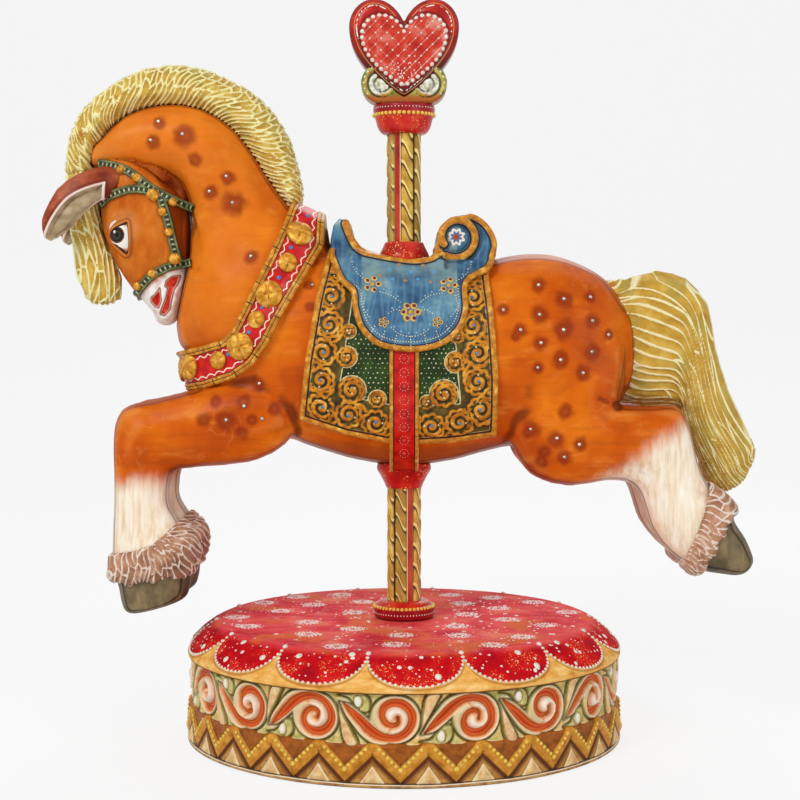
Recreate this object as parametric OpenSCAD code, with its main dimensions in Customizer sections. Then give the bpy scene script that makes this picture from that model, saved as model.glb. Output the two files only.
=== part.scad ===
// Carousel music box: a carved horse on a pole turns above a wind-up movement in a round base.
// The pole stands on the origin, the horse faces -X and its left side faces -Y.

/* [Base] */
// Outside diameter of the plinth at its foot
base_d = 180; // [150:1:216]
// Height of the plinth ring
plinth_h = 16; // [14:0.5:20]
// Height of the carved frieze ring
frieze_h = 18.5; // [18:0.5:24]
// Height of the rounded top board at its rim
top_h = 13; // [11:0.5:16]
// Thickness of the top board above the movement
top_wall = 6; // [4:0.5:8]
// Wall of the frieze ring
ring_wall = 13; // [10:0.5:18]
// Width of the sloping shoulder of the top board
shoulder_w = 12.5; // [10:0.5:15]
// Thickness of the board that closes the base from below
board_t = 4; // [3:0.5:5]
// Thickness of the felt ring under the plinth
felt_t = 1; // [0.8:0.1:2]

/* [Pole] */
// Diameter over the rope strands of the pole
pole_d = 14; // [11.5:0.1:17]
// Diameter of the steel rod that runs through pole and horse
rod_d = 5; // [4:0.1:6]
// Exposed length of the pole below the horse
lower_pole_len = 46; // [36:1:58]
// Exposed length of the pole above the saddle
upper_pole_len = 43.5; // [36:0.5:52]
// Diameter of the collars at both ends of the pole
collar_d = 25; // [21:0.5:30]
// Height of the collar that stands on the base
base_collar_h = 7.2; // [6:0.1:10]
// Height of the collar under the heart
finial_collar_h = 12; // [10:0.5:15]
// Height of the cup under the belly
belly_cup_h = 9; // [7.5:0.5:11]
// Height of the cup on the saddle
saddle_cup_h = 7; // [6:0.5:9]
// Number of rope strands around the pole
strands = 6; // [4:1:8]

/* [Heart] */
// Width of the heart
heart_w = 44.5; // [37:0.5:54]
// Height of the heart, with the tip that the scrolls hide
heart_h = 41; // [34:0.5:49]
// Thickness of the heart
heart_t = 16; // [13:0.5:19]
// Radius of the scrolls under the heart
scroll_r = 8.1; // [6.7:0.1:9.8]

/* [Horse] */
// Length of the horse from forelock to tail
horse_len = 290; // [240:1:348]
// Thickness of the blanket
blanket_t = 2; // [1.6:0.1:3]
// Thickness of the saddle flaps
saddle_t = 2.4; // [2:0.1:4]
// Width of the girth strap
girth_w = 11; // [9:0.5:14]
// Thickness of the girth strap, the breast collar and the bridle
strap_t = 1.4; // [1.2:0.1:2.4]
// Width of the bridle straps
bridle_w = 3.4; // [2.8:0.1:4.4]
// Diameter of the large rosettes
rosette_d = 11; // [9:0.5:13]
// Diameter of the small studs
stud_d = 2; // [1.6:0.1:2.6]

/* [Movement] */
// Thickness of the movement's bedplate
bed_t = 2.5; // [2:0.1:3]
// Diameter of the spring barrel
barrel_d = 28; // [27:0.5:30]
// Height of the mainspring's strip
spring_h = 4.6; // [3.8:0.1:5.5]
// Number of teeth on the crown wheel of the barrel
crown_teeth = 30; // [30]
// Number of teeth on the pinion of the music cylinder
drive_teeth = 10; // [10]
// Diameter of the music cylinder
drum_d = 12.4; // [10.4:0.1:13.5]
// Length of the music cylinder
drum_len = 20; // [17:0.5:23]
// How far a pin stands out of the music cylinder
pin_h = 0.6; // [0.4:0.1:0.8]
// Number of notes, one tooth of the comb for each
notes = 18; // [15:1:18]
// Thickness of the comb
comb_t = 0.8; // [0.6:0.1:1]
// Diameter of the winding arbor
arbor_d = 5; // [4:0.1:6]
// Width of the winding key across its wings
key_w = 24; // [20:1:29]
// Height of the key's wings
key_h = 7.5; // [6:0.5:8]

/* [Clearances] */
// Radial running clearance of arbors in their bores
run_fit = 0.05; // [0.03:0.01:0.08]
// Gap between glued pieces that follow each other's shape
seat = 0.1; // [0.06:0.02:0.2]
// Gap between the turning collar's washer and the bush
lift = 0.1; // [0.05:0.05:0.3]

/* [Hidden] */
$fn = 64;
EPS = 0.01;

// Heights of the base, from the table up
plinth_z = felt_t / 2;
board_z = plinth_h - board_t;
top_z = plinth_h + frieze_h;
base_h = top_z + top_h;
chamber_top = base_h - top_wall;
base_r = base_d / 2;
frieze_r = base_r - 3;
chamber_r = frieze_r - ring_wall;
recess_r = chamber_r + 6;
bush_flange_h = 0.8;
washer_t = 0.8;

// Heights of the pole and the horse
collar_z = base_h + 0.4;
collar_top = collar_z + base_collar_h;
horse_z = collar_top + lower_pole_len + belly_cup_h;
size = horse_len / 290;
back_h = 80 * size;
seat_z = horse_z + back_h + blanket_t + saddle_t + 3 * seat;
saddle_cup_top = seat_z + saddle_cup_h;
upper_top = saddle_cup_top + upper_pole_len;
scroll_z = upper_top + finial_collar_h;
heart_z = scroll_z + 1.2;
rod_r = rod_d / 2;
rod_top = scroll_z + scroll_r;

// Heights and places of the movement
bed_z = plinth_h;
bed_top = bed_z + bed_t;
barrel_r = barrel_d / 2;
barrel_z = bed_top + 0.8;
barrel_floor = 1;
lid_z = barrel_z + barrel_floor + spring_h + 0.6;
lid_t = 1.4;
crown_mid_r = 11.5;
crown_face = 2.4;
tooth_h = 1.4;
crown_pitch_z = lid_z + lid_t + 0.6 * tooth_h;
pitch = 2 * PI * crown_mid_r / crown_teeth;
drive_pitch_r = drive_teeth * pitch / (2 * PI);
drum_z = crown_pitch_z + drive_pitch_r;
drum_r = drum_d / 2;
pin_r = drum_r + pin_h;
drive_x = crown_mid_r;
drive_face = 2.8;
bracket_t = 2;
inner_x = barrel_r + 1.2;
drum_x = inner_x + bracket_t + 0.8;
drum_end = drum_x + drum_len;
wheel_x = drum_end + 1;
wheel_t = 1.6;
wheel_teeth = 30;
second_teeth = 10;
wheel_module = 0.5;
second_y = -wheel_module * (wheel_teeth + second_teeth) / 2;
outer_x = wheel_x + wheel_t + 1.2;
cyl_arbor_r = 1.5;
second_arbor_r = 1;
worm_teeth = 12;
worm_starts = 2;
worm_module = 0.7;
worm_wheel_x = outer_x + bracket_t + 1.2;
worm_wheel_t = 1;
worm_wheel_r = worm_module * worm_teeth / 2;
worm_r = 2;
governor_x = worm_wheel_x + worm_wheel_t / 2;
governor_y = second_y - worm_wheel_r - worm_r;
governor_r = 0.75;
pivot_r = 0.5;
worm_len = 9;
governor_z = bed_top + 2.4;
governor_top = drum_z + worm_len / 2 + 1.6;
comb_tip = pin_r + 0.3;
comb_root = comb_tip + 9;
comb_back = comb_root + 7;
comb_x = drum_x + 0.6;
comb_len = drum_len - 1.2;
note_pitch = comb_len / notes;
tooth_w = 0.74 * note_pitch;
hub_r = rod_r + 3;
pivot_top_r = 1.5;

// Profile exponent of the carved sections: 2 is an ellipse, more is squarer
squareness = 2.25;

// Rows of the carved pieces in the horse's own frame, in millimetres at a length of 290:
// one end of the section in x and z, its other end in x and z, half its depth in y.
torso_rows = [
    [-83.5, 52, -81, 28, 14], [-72, 68, -73.5, 19, 21], [-58, 83, -58, 13.5, 26],
    [-42.5, 92, -42.5, 9.5, 29], [-22, 86, -22, 3, 31], [0, 80, 0, 0, 32],
    [21, 80.5, 21, 2.5, 32.5], [41.5, 86, 41.5, 8, 32.5], [58, 87, 56.5, 6.5, 31.5],
    [71.5, 83, 71.5, 9, 28.5], [82.5, 76.5, 83, 17, 23], [89, 67, 89.5, 28, 15]
];
neck_rows = [
    [-30.5, 84, -77.5, 35.5, 24], [-31, 98.5, -92.5, 50, 25], [-44.5, 105, -92, 66, 22.5],
    [-56, 120.5, -87.5, 85.5, 20], [-67, 136.5, -87.5, 106, 18.5], [-81.5, 146, -92, 116.5, 17.5],
    [-98, 147.5, -103.5, 117.5, 16.5], [-112.5, 143, -116, 119.5, 14.5], [-122, 134, -123.5, 121.5, 10]
];
head_rows = [
    [-121.5, 130, -89, 118, 15], [-124.5, 120, -86.5, 109, 17], [-124, 107, -86, 101.5, 17.5],
    [-122.5, 94.5, -86.5, 92.5, 17], [-117.5, 82.5, -87, 83, 14.5], [-111, 72.5, -88, 75.5, 12],
    [-106, 67, -88.5, 69.5, 11], [-102.5, 62.5, -91, 64.5, 9.5]
];
foreleg_rows = [
    [-57, 39, -47.5, 9, 11], [-71.5, 37, -59.5, 3, 12], [-87.5, 31.5, -75.5, 1, 12],
    [-101.5, 28, -88.5, 0, 11.5], [-113, 25, -92.5, -1, 11], [-117, 15, -93.5, -5, 10.5],
    [-117, 0, -94, -9, 10], [-117, -12, -94, -14, 9.5], [-117.5, -24, -89.5, -21, 10],
    [-118, -36, -83, -30, 12.5], [-117.5, -44, -85, -38.5, 12.5]
];
forehoof_rows = [[-115.5, -45, -85.5, -40, 11.5], [-114.5, -52, -86, -46, 11.5], [-113, -58, -87, -51, 11]];
hindleg_rows = [
    [83, 61, 48.5, 50, 6], [89, 48, 41.5, 32, 11], [87, 30, 41.5, 12, 14],
    [85.5, 26.5, 50.5, -2.5, 14], [91, 26, 66.5, -7, 13], [100.5, 26, 81.5, -4.5, 12],
    [110.5, 25.5, 91.5, -6.5, 11], [115, 16, 95.5, -15, 10], [119, 0, 98.5, -24, 9.5],
    [125, -9, 105.5, -33, 10.5], [132.5, -15, 112, -38, 12.5], [131.5, -19, 116, -40.5, 12]
];
hindhoof_rows = [[131.5, -19.5, 117, -40.5, 11.5], [137, -27.5, 125, -41.5, 11.5], [140, -35, 133, -42.5, 10.5]];
mane_rows = [
    [-138, 120.5, -125, 120.5, 8], [-136, 134, -123.5, 129.5, 9], [-131, 145, -119, 136.5, 9.5],
    [-119.5, 154.5, -111, 142.5, 10], [-105.5, 161.5, -101.5, 145.5, 10.5],
    [-87.5, 163, -88.5, 145, 11], [-70.5, 157, -76, 139.5, 11], [-56, 147.5, -65, 129.5, 10.5],
    [-46, 132, -56, 116.5, 9.5], [-41.5, 114, -48, 106.5, 7.5]
];
forelock_rows = [
    [-137.5, 119, -124.5, 119, 8.5], [-137.5, 109, -124, 109, 9], [-136, 97, -122, 97.5, 9],
    [-134.5, 85.5, -118.5, 87.5, 8.5], [-133, 75, -115, 77, 7.5], [-129.5, 68.5, -115.5, 70, 5]
];
tail_rows = [
    [81, 76, 81, 27.5, 6.3], [92, 77, 92, 26, 9], [103.5, 80, 101, 25, 11],
    [115.5, 77, 110, 24.5, 12], [124, 66.5, 114.5, 23, 12], [127, 50, 116.5, 17, 11.5],
    [132.5, 32, 119, 10, 11], [139.5, 17.5, 122, 2, 10], [144.5, 6, 125, -5.5, 8.5],
    [141, -3, 129.5, -9, 6]
];
// Rows of the ear also give the place of the section's middle in y
ear_rows = [
    [-106.5, 120, -111.5, 110.5, 3, 10], [-119.5, 121.5, -120.5, 107.5, 4, 15],
    [-130, 118, -127.5, 101.5, 4, 17.5], [-138, 112, -133.5, 94.5, 3.5, 18.5],
    [-143, 103, -139, 91, 2.5, 18.5]
];
foreleg_y = 15;
hindleg_y = 17;

// Side views of the tack, in the horse's own frame
flap_outline = [
    [-27, 108], [-29.5, 85.5], [-25, 75.5], [-20.5, 71], [-19.5, 64], [-16.5, 56], [-9.5, 50],
    [2.5, 48], [14, 50], [21.5, 56], [24.5, 64], [25, 74.5], [34, 80.5], [37, 89.5], [36, 108]
];
blanket_outline = [
    [-28, 108], [-29, 92], [-34.5, 68], [-38.5, 44.5], [-41.5, 20.5], [-23, 14.5], [-1.5, 10.5],
    [18, 11.5], [36.5, 14], [36.5, 36.5], [35, 60], [33, 80], [33, 108]
];
collar_outline = [
    [-43.5, 112], [-47.5, 98], [-53.5, 84], [-61.5, 68], [-67.5, 56], [-72.5, 51.5], [-81.5, 49],
    [-108, 43], [-106, 26], [-87.5, 31.5], [-79.5, 33], [-67.5, 37], [-60, 42], [-54, 50.5],
    [-47, 64], [-39, 77.5], [-32.5, 90], [-32, 112]
];
cantle_outline = [[12, 84], [17, 97.5], [22, 102], [28.5, 101.5], [34, 97], [36.5, 90.5], [33.5, 84]];
pommel_outline = [[-30, 84], [-29, 97], [-26, 100.5], [-22.5, 99], [-20.5, 92], [-14, 86.5], [-14, 82]];
crown_strap = [[-123.5, 123], [-111.5, 120], [-101.5, 113], [-93.5, 108.5], [-84.5, 104.5]];
brow_band = [[-122.5, 106], [-117.5, 109.5], [-107.5, 112], [-97.5, 110.5]];
cheek_strap = [[-97.5, 110], [-94.5, 100], [-92, 88], [-90.5, 83]];
nose_band = [[-85.5, 83], [-93.5, 81.5], [-101.5, 77.5], [-107.5, 71.5], [-110, 68]];

// ---- Smooth solids through rows of sections ----

function curve(a, b, c, d, t) =
    (2 * b + (c - a) * t + (2 * a - 5 * b + 4 * c - d) * t * t + (3 * b - a - 3 * c + d) * t * t * t) / 2;
function smooth(rows, steps) = let (last = len(rows) - 1) [
    for (i = [0 : last - 1], k = [0 : steps - 1])
        curve(rows[max(i - 1, 0)], rows[i], rows[i + 1], rows[min(i + 2, last)], k / steps),
    rows[last]
];
function middle(r) = [r[0] + r[2], r[1] + r[3]] / 2;
function half(r) = [r[0] - r[2], r[1] - r[3]] / 2;
function row_y(r, y) = len(r) > 5 ? r[5] * size : y;
function section(m, h, w, y) = [m.x + h.x, m.y + h.y, m.x - h.x, m.y - h.y, w, y];
// A row in real size, grown by g all round
function grown(r, g, y) = let (h = half(r) * size)
    section(middle(r) * size, h * (1 + g / norm(h)), r[4] * size + g, row_y(r, y));
// A smaller section beyond an end, which rounds that end
function domed(r, away, a) = section(middle(r) + away * sin(a), half(r) * cos(a), r[4] * cos(a), r[5]);
function beyond(from, to, reach) = (middle(to) - middle(from)) * reach / norm(middle(to) - middle(from));
function root(v) = sign(v) * pow(abs(v), 2 / squareness);
function ring(r, sides) = let (m = middle(r), h = half(r)) [
    for (k = [0 : sides - 1]) let (a = 360 * k / sides, u = root(cos(a)), v = root(sin(a)))
        [m.x + h.x * u, r[5] + r[4] * v, m.y + h.y * u]
];

// A carved form through the rows: both ends are rounded by the given reaches
module carve(rows, steps = 3, sides = 20, ends = [4, 4], g = 0, y = 0) {
    mid = [for (r = smooth(rows, steps)) grown(r, g, y)];
    last = len(mid) - 1;
    head = beyond(mid[1], mid[0], ends[0] * size + g);
    foot = beyond(mid[last - 1], mid[last], ends[1] * size + g);
    all = concat(
        [for (a = [65, 35]) domed(mid[0], head, a)], mid, [for (a = [35, 65]) domed(mid[last], foot, a)]
    );
    n = len(all);
    tip_a = middle(mid[0]) + head;
    tip_b = middle(mid[last]) + foot;
    points = concat(
        [[tip_a.x, mid[0][5], tip_a.y], [tip_b.x, mid[last][5], tip_b.y]],
        [for (r = all) each ring(r, sides)]
    );
    at = function(i, k) 2 + i * sides + k % sides;
    faces = concat(
        [for (k = [0 : sides - 1]) [0, at(0, k), at(0, k + 1)]],
        [for (i = [0 : n - 2], k = [0 : sides - 1]) each [
            [at(i, k), at(i + 1, k), at(i + 1, k + 1)], [at(i, k), at(i + 1, k + 1), at(i, k + 1)]
        ]],
        [for (k = [0 : sides - 1]) [1, at(n - 1, k + 1), at(n - 1, k)]]
    );
    c = floor(n / 2);
    spine = middle(all[c + 1]) - middle(all[c]);
    h = half(all[c]);
    outward = h.x * spine.y - h.y * spine.x > 0;
    polyhedron(points, outward ? faces : [for (f = faces) [f[0], f[2], f[1]]]);
}

// A point of a carved form's left side and its outward direction, for a place in the side view
function on_form(rows, p, y = 0) = let (
    fine = [for (r = smooth(rows, 4)) grown(r, 0, y)],
    off = [for (r = fine) cross(half(r), p * size - middle(r))],
    hits = [for (i = [0 : len(fine) - 2]) let (
            t = off[i] / (off[i] - off[i + 1]), r = fine[i] + (fine[i + 1] - fine[i]) * t,
            h = half(r), s = (p * size - middle(r)) * h / (h * h)
        ) if (off[i] * off[i + 1] <= 0 && abs(s) < 0.98) [r, s]]
) len(hits) == 0 ? undef : let (
    r = hits[0][0], s = hits[0][1], h = half(r), t = pow(1 - pow(abs(s), squareness), 1 / squareness),
    e = sign(s) * pow(abs(s), squareness - 1) / norm(h), f = pow(t, squareness - 1) / r[4],
    n = [e * h.x / norm(h), -f, e * h.y / norm(h)]
) [[p.x * size, r[5] - r[4] * t, p.y * size], n / norm(n)];
// The outermost of two forms at that place
function outer_of(a, b) = a == undef ? b : b == undef ? a : a[0].y < b[0].y ? a : b;
function on_chest(p) = outer_of(on_form(torso_rows, p), on_form(neck_rows, p));
function on_skull(p) = outer_of(on_form(head_rows, p), on_form(neck_rows, p));
function on_body(p) = outer_of(on_chest(p), outer_of(
    on_form(foreleg_rows, p, -foreleg_y * size), on_form(hindleg_rows, p, -hindleg_y * size)
));

// Stands children on a point of a form, their Z axis outward, lifted by gap
module stand_on(place, gap) {
    n = place[1];
    translate(place[0] + n * gap) rotate([0, acos(n.z), atan2(n.y, n.x)]) children();
}

// Carved booleans are worked as one mesh
module carved() resize([0, 0, 0]) children();
module at_horse() translate([0, 0, horse_z]) children();
module both_sides() { children(); mirror([0, 1, 0]) children(); }

// A side view pulled across the horse
module across(width) rotate([90, 0, 0]) linear_extrude(width, center = true) scale(size) children();
module strap(points, w) for (i = [0 : len(points) - 2])
    hull() for (p = [points[i], points[i + 1]]) translate(p) circle(w / 2 / size, $fn = 6);

module torso_form(g = 0) carve(torso_rows, 2, 18, [5, 5], g);
module neck_form(g = 0) carve(neck_rows, 2, 14, [6, 6], g);
module head_form(g = 0) carve(head_rows, 2, 14, [8, 6], g);
module forelock_form(g = 0) carve(forelock_rows, 2, 10, [1, 3], g);
module mane_form(g = 0) carve(mane_rows, 2, 10, [3, 5], g);
module rod_bore(gap = 0.2) translate([0, 0, -20]) cylinder(h = 260, r = rod_r + gap, $fn = 16);

// ---- Turned rings, bores and screws ----

// A turned piece from a list of [radius, height] corners
module turned(points) rotate_extrude() polygon(points);
module bored(r) difference() { children(0); children(1); translate([0, 0, -EPS]) cylinder(h = 400, r = r); }

// Places of repeated screws on a circle
module around(n, r, from = 0) for (i = [0 : n - 1]) rotate(from + 360 * i / n) translate([r, 0, 0]) children();

// ---- Base ----

module base_plinth() color("peru") turned([
    [recess_r, plinth_z], [base_r - 1.2, plinth_z], [base_r - 0.4, plinth_z + 1],
    [base_r, plinth_z + 2.2], [base_r - 0.5, plinth_z + 2.6], [base_r, plinth_z + 3],
    [base_r - 0.2, plinth_h * 0.6], [base_r - 1, plinth_h * 0.85], [base_r - 2, plinth_h],
    [recess_r, plinth_h]
]);

function bulge_r(t) = frieze_r + 1.2 * sin(180 * t);
module base_frieze() color("darkkhaki") difference() {
    turned(concat(
        [[chamber_r, plinth_h]],
        [for (i = [0 : 6]) [bulge_r(i / 6), plinth_h + frieze_h * i / 6]],
        [[chamber_r, top_z]]
    ));
    around(board_screw_n, board_screw_r, 45)
        translate([0, 0, plinth_h - EPS]) cylinder(h = board_screw_len, r = screw_r, $fn = 24);
}

// The rim of the top board, then the rounded shoulder, then the flat top
// Height of the upright edge under the shoulder, how full the shoulder is (2 is straight, 1 is an
// ellipse) and how far the board stands out over the frieze
rim_h = 1.5;
shoulder_form = 1.6;
rim_out = 1.6;
module base_top() color("crimson") difference() {
    turned(concat(
        [[chamber_r - 4, top_z], [frieze_r + rim_out, top_z], [frieze_r + rim_out, top_z + rim_h]],
        [for (a = [15 : 12.5 : 90]) [
            frieze_r + rim_out - shoulder_w * (1 - pow(cos(a), shoulder_form)),
            top_z + rim_h + (top_h - rim_h) * pow(sin(a), shoulder_form)
        ]],
        [[0, base_h], [0, chamber_top], [chamber_r - 4, chamber_top]]
    ));
    translate([0, 0, chamber_top - EPS]) cylinder(h = top_wall + 1, r = bush_r);
}
bush_r = rod_r + 1.5;

module felt_ring() color("darkgreen") turned([
    [recess_r + 1, 0], [base_r - 2.5, 0], [base_r - 2.5, plinth_z], [recess_r + 1, plinth_z]
]);

board_screw_n = 4;
board_screw_r = chamber_r + 3;
board_screw_len = 8;
screw_r = 1.1;
movement_holes = [[-barrel_r - 3, 12], [-barrel_r - 3, -12], [outer_x + 6, comb_back - 4]];
board_hole_r = arbor_d / 2 + 2.5;

module bottom_board() color("burlywood") difference() {
    translate([0, 0, board_z]) cylinder(h = board_t, r = recess_r - 0.3);
    translate([0, 0, board_z - EPS]) {
        cylinder(h = board_t + 1, r = board_hole_r);
        around(board_screw_n, board_screw_r, 45) cylinder(h = board_t + 1, r = screw_r, $fn = 24);
        for (p = movement_holes) translate(p) cylinder(h = board_t + 1, r = screw_r, $fn = 24);
        around(3, barrel_r + 22, 180) around(5, 5) cylinder(h = board_t + 1, r = 1.6, $fn = 24);
    }
}

// A pan-head screw that comes up through the board
module board_screw(len) {
    translate([0, 0, board_z]) cylinder(h = len, r = screw_r - 0.02, $fn = 24);
    translate([0, 0, board_z - 1.4]) difference() {
        cylinder(h = 1.4, r1 = 1.7, r2 = 2.2, $fn = 24);
        translate([0, 0, 0.3]) cube([5, 0.6, 0.7], center = true);
    }
}
module board_screws() color("gold") around(board_screw_n, board_screw_r, 45) board_screw(board_t + board_screw_len - 0.5);
module movement_screws() color("silver") for (p = movement_holes) translate(p) board_screw(board_t + bed_t);

module spindle_bush() color("gold") difference() {
    union() {
        translate([0, 0, chamber_top]) cylinder(h = top_wall, r = bush_r);
        translate([0, 0, base_h]) cylinder(h = bush_flange_h, r = bush_r + 1);
    }
    translate([0, 0, chamber_top - 1]) cylinder(h = top_wall + 4, r = rod_r + run_fit);
}

// ---- Movement: fixed pieces ----

bed_outline = [
    [-barrel_r - 6, -15], [outer_x - 6, -15], [outer_x + 1, governor_y - 6], [governor_x + 4, governor_y - 6],
    [governor_x + 4, 4], [outer_x + 9, 6], [outer_x + 9, comb_back + 1], [-barrel_r - 6, comb_back - 6]
];
comb_holes = [for (i = [0 : 2]) [comb_x + comb_len * (0.15 + 0.35 * i), comb_back - 2.6]];

module movement_bedplate() color("silver") difference() {
    translate([0, 0, bed_z]) linear_extrude(bed_t) polygon(bed_outline);
    translate([0, 0, bed_z - EPS]) {
        cylinder(h = bed_t + 1, r = arbor_d / 2 + run_fit);
        for (p = movement_holes) translate(p) cylinder(h = bed_t + 1, r = screw_r, $fn = 24);
        translate([drum_x + 3, -11.5, 0]) cube([drum_len - 6, 3, bed_t + 1]);
    }
}

module comb_block() color("silver") difference() {
    translate([comb_x, comb_root - 2, bed_top]) cube([comb_len, comb_back - comb_root + 2, drum_z - comb_t / 2 - bed_top]);
    for (p = comb_holes) translate([p.x, p.y, drum_z - 8]) cylinder(h = 9, r = 0.9, $fn = 24);
}

// The root line slants, so that the low notes have the long teeth
function root_y(i) = comb_root - 2.4 * i / (notes - 1);
module music_comb() color("lightsteelblue") translate([0, 0, drum_z - comb_t / 2]) difference() {
    translate([comb_x, comb_tip, 0]) cube([comb_len, comb_back - comb_tip, comb_t]);
    for (i = [0 : notes]) translate([comb_x + i * note_pitch - (note_pitch - tooth_w) / 2, comb_tip - 1, -1])
        cube([note_pitch - tooth_w, root_y(min(i, notes - 1)) - comb_tip + 1, comb_t + 2]);
    for (p = comb_holes) translate([p.x, p.y, -1]) cylinder(h = comb_t + 2, r = 0.9, $fn = 24);
}

module comb_screws() color("gold") for (p = comb_holes) translate([p.x, p.y, 0]) {
    translate([0, 0, drum_z - 6]) cylinder(h = 6 + comb_t / 2, r = 0.88, $fn = 24);
    translate([0, 0, drum_z + comb_t / 2]) difference() {
        cylinder(h = 1.2, r = 1.8, $fn = 24);
        translate([0, 0, 1.1]) cube([4, 0.5, 0.7], center = true);
    }
}

// An upright bearing plate with a bore for the music cylinder's arbor
module bracket(x, y0, y1, extra) difference() {
    union() {
        translate([x, y0, bed_top]) cube([bracket_t, y1 - y0, drum_z - bed_top]);
        translate([x, 0, drum_z]) rotate([0, 90, 0]) cylinder(h = bracket_t, r = 4);
        if (extra) translate([x, second_y, drum_z]) rotate([0, 90, 0]) cylinder(h = bracket_t, r = 3.4);
    }
    translate([x - 1, 0, drum_z]) rotate([0, 90, 0]) cylinder(h = bracket_t + 2, r = cyl_arbor_r + run_fit);
    if (extra) translate([x - 1, second_y, drum_z]) rotate([0, 90, 0])
        cylinder(h = bracket_t + 2, r = second_arbor_r + run_fit);
}
module inner_bracket() color("silver") bracket(inner_x, -4, 4, false);
module outer_bracket() color("silver") bracket(outer_x, second_y - 3.4, 4, true);

// The cock that carries the inner end of the second arbor
cock_x = wheel_x - bracket_t - 0.8;
module second_cock() color("silver") difference() {
    union() {
        translate([cock_x, second_y - 2.4, bed_top]) cube([bracket_t, 4.8, drum_z - bed_top]);
        along_x(cock_x, second_y) cylinder(h = bracket_t, r = 2.4);
        translate([cock_x - 5, second_y - 2.4, bed_top]) cube([5 + EPS, 4.8, 1.4]);
    }
    along_x(cock_x - 1, second_y) cylinder(h = bracket_t + 2, r = second_arbor_r + run_fit);
}

// The post of the governor, with an arm under and over its arbor
post_y = governor_y - 5.2;
module governor_frame() color("silver") difference() {
    union() {
        translate([governor_x - 2.5, post_y, bed_top]) cube([5, 2.4, governor_top + 1.6 - bed_top]);
        for (z = [bed_top, governor_top])
            translate([governor_x - 2.5, post_y, z]) cube([5, 5.2 + 2.5, 1.6]);
    }
    translate([governor_x, governor_y, bed_top + 0.6]) cylinder(h = governor_top, r = pivot_r + run_fit, $fn = 24);
}

// ---- Movement: turning pieces ----

module centre_rod() color("silver") translate([0, 0, lid_z + lid_t + 2]) cylinder(h = rod_top - lid_z - lid_t - 2, r = rod_r);

// A straight tooth that stands on the rim of the crown wheel
module crown_tooth() translate([crown_mid_r - crown_face / 2, 0, lid_z + lid_t - EPS]) rotate([90, 0, 90])
    linear_extrude(crown_face) polygon([[-0.5, 0], [0.5, 0], [0.24, tooth_h], [-0.24, tooth_h]]);

module great_wheel() color("gold") difference() {
    union() {
        translate([0, 0, lid_z]) cylinder(h = lid_t, r = barrel_r);
        translate([0, 0, lid_z]) cylinder(h = lid_t + 8, r = hub_r);
        for (i = [0 : crown_teeth - 1]) rotate(360 * i / crown_teeth) crown_tooth();
    }
    translate([0, 0, lid_z + lid_t + 2 - EPS]) cylinder(h = 20, r = rod_r + 0.02);
    translate([0, 0, lid_z - EPS]) cylinder(h = 1.6, r = pivot_top_r + run_fit);
}

module spring_barrel() color("gold") difference() {
    translate([0, 0, barrel_z]) cylinder(h = lid_z - barrel_z, r = barrel_r);
    translate([0, 0, barrel_z + barrel_floor]) cylinder(h = 20, r = barrel_r - 1);
    translate([0, 0, barrel_z - 1]) cylinder(h = 4, r = arbor_d / 2 + run_fit);
}

spring_turns = 5;
spring_strip = 0.4;
function spiral(t, off) = let (r = barrel_r - 1.3 - off - (barrel_r - arbor_d / 2 - 2.8) * t / spring_turns)
    r * [cos(360 * t), sin(360 * t)];
module mainspring() color("steelblue") translate([0, 0, barrel_z + barrel_floor + 0.1]) linear_extrude(spring_h)
    polygon(concat(
        [for (k = [0 : 24 * spring_turns]) spiral(k / 24, 0)],
        [for (k = [24 * spring_turns : -1 : 0]) spiral(k / 24, spring_strip)]
    ));

module thrust_washer() color("gold") difference() {
    translate([0, 0, base_h + bush_flange_h + lift]) cylinder(h = washer_t, r = bush_r + 0.6);
    translate([0, 0, base_h]) cylinder(h = 4, r = rod_r + 0.02);
}

module winding_arbor() color("silver") union() {
    translate([0, 0, key_z + key_h / 2]) cylinder(h = barrel_z + barrel_floor + 0.1 - key_z - key_h / 2, r = arbor_d / 2);
    translate([0, 0, barrel_z + barrel_floor + 0.1]) cylinder(h = spring_h + 0.3, r = arbor_d / 2 + 0.6);
    translate([0, 0, lid_z - 0.3]) cylinder(h = 1.6, r = pivot_top_r);
}
key_z = 1.8;
module winding_key() color("gold") difference() {
    union() {
        translate([0, 0, key_z]) cylinder(h = board_z - key_z - 0.3, r = arbor_d / 2 + 1.3);
        translate([0, 1, 0]) rotate([90, 0, 0]) linear_extrude(2) difference() {
            union() {
                for (s = [-1, 1]) translate([s * (key_w - key_h) / 2, key_z + key_h / 2]) circle(key_h / 2);
                translate([-(key_w - key_h) / 2, key_z + key_h / 4]) square([key_w - key_h, key_h / 2]);
            }
            for (s = [-1, 1]) translate([s * (key_w - key_h) / 2, key_z + key_h / 2]) circle(key_h / 4);
        }
    }
    translate([0, 0, key_z + key_h / 2 - EPS]) cylinder(h = 20, r = arbor_d / 2 + 0.02);
}

// Outline of a straight-toothed wheel
function wheel_points(n, m, tip, root, thick) = [
    for (i = [0 : n - 1]) let (a = 360 / n) each [
        for (q = [[-0.5, root], [-0.28, tip], [0.28, tip], [0.5, root]])
            (m * n / 2 + q[1]) * [cos(a * (i + q[0] * thick * 2 * 0.62)), sin(a * (i + q[0] * thick * 2 * 0.62))]
    ]
];
module spur(n, m, tip, root, thick, face) linear_extrude(face) polygon(wheel_points(n, m, tip, root, thick));
// Turns a piece on Z so that it lies on the arbor's line, X
module along_x(x, y) translate([x, y, drum_z]) rotate([0, 90, 0]) children();

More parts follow.
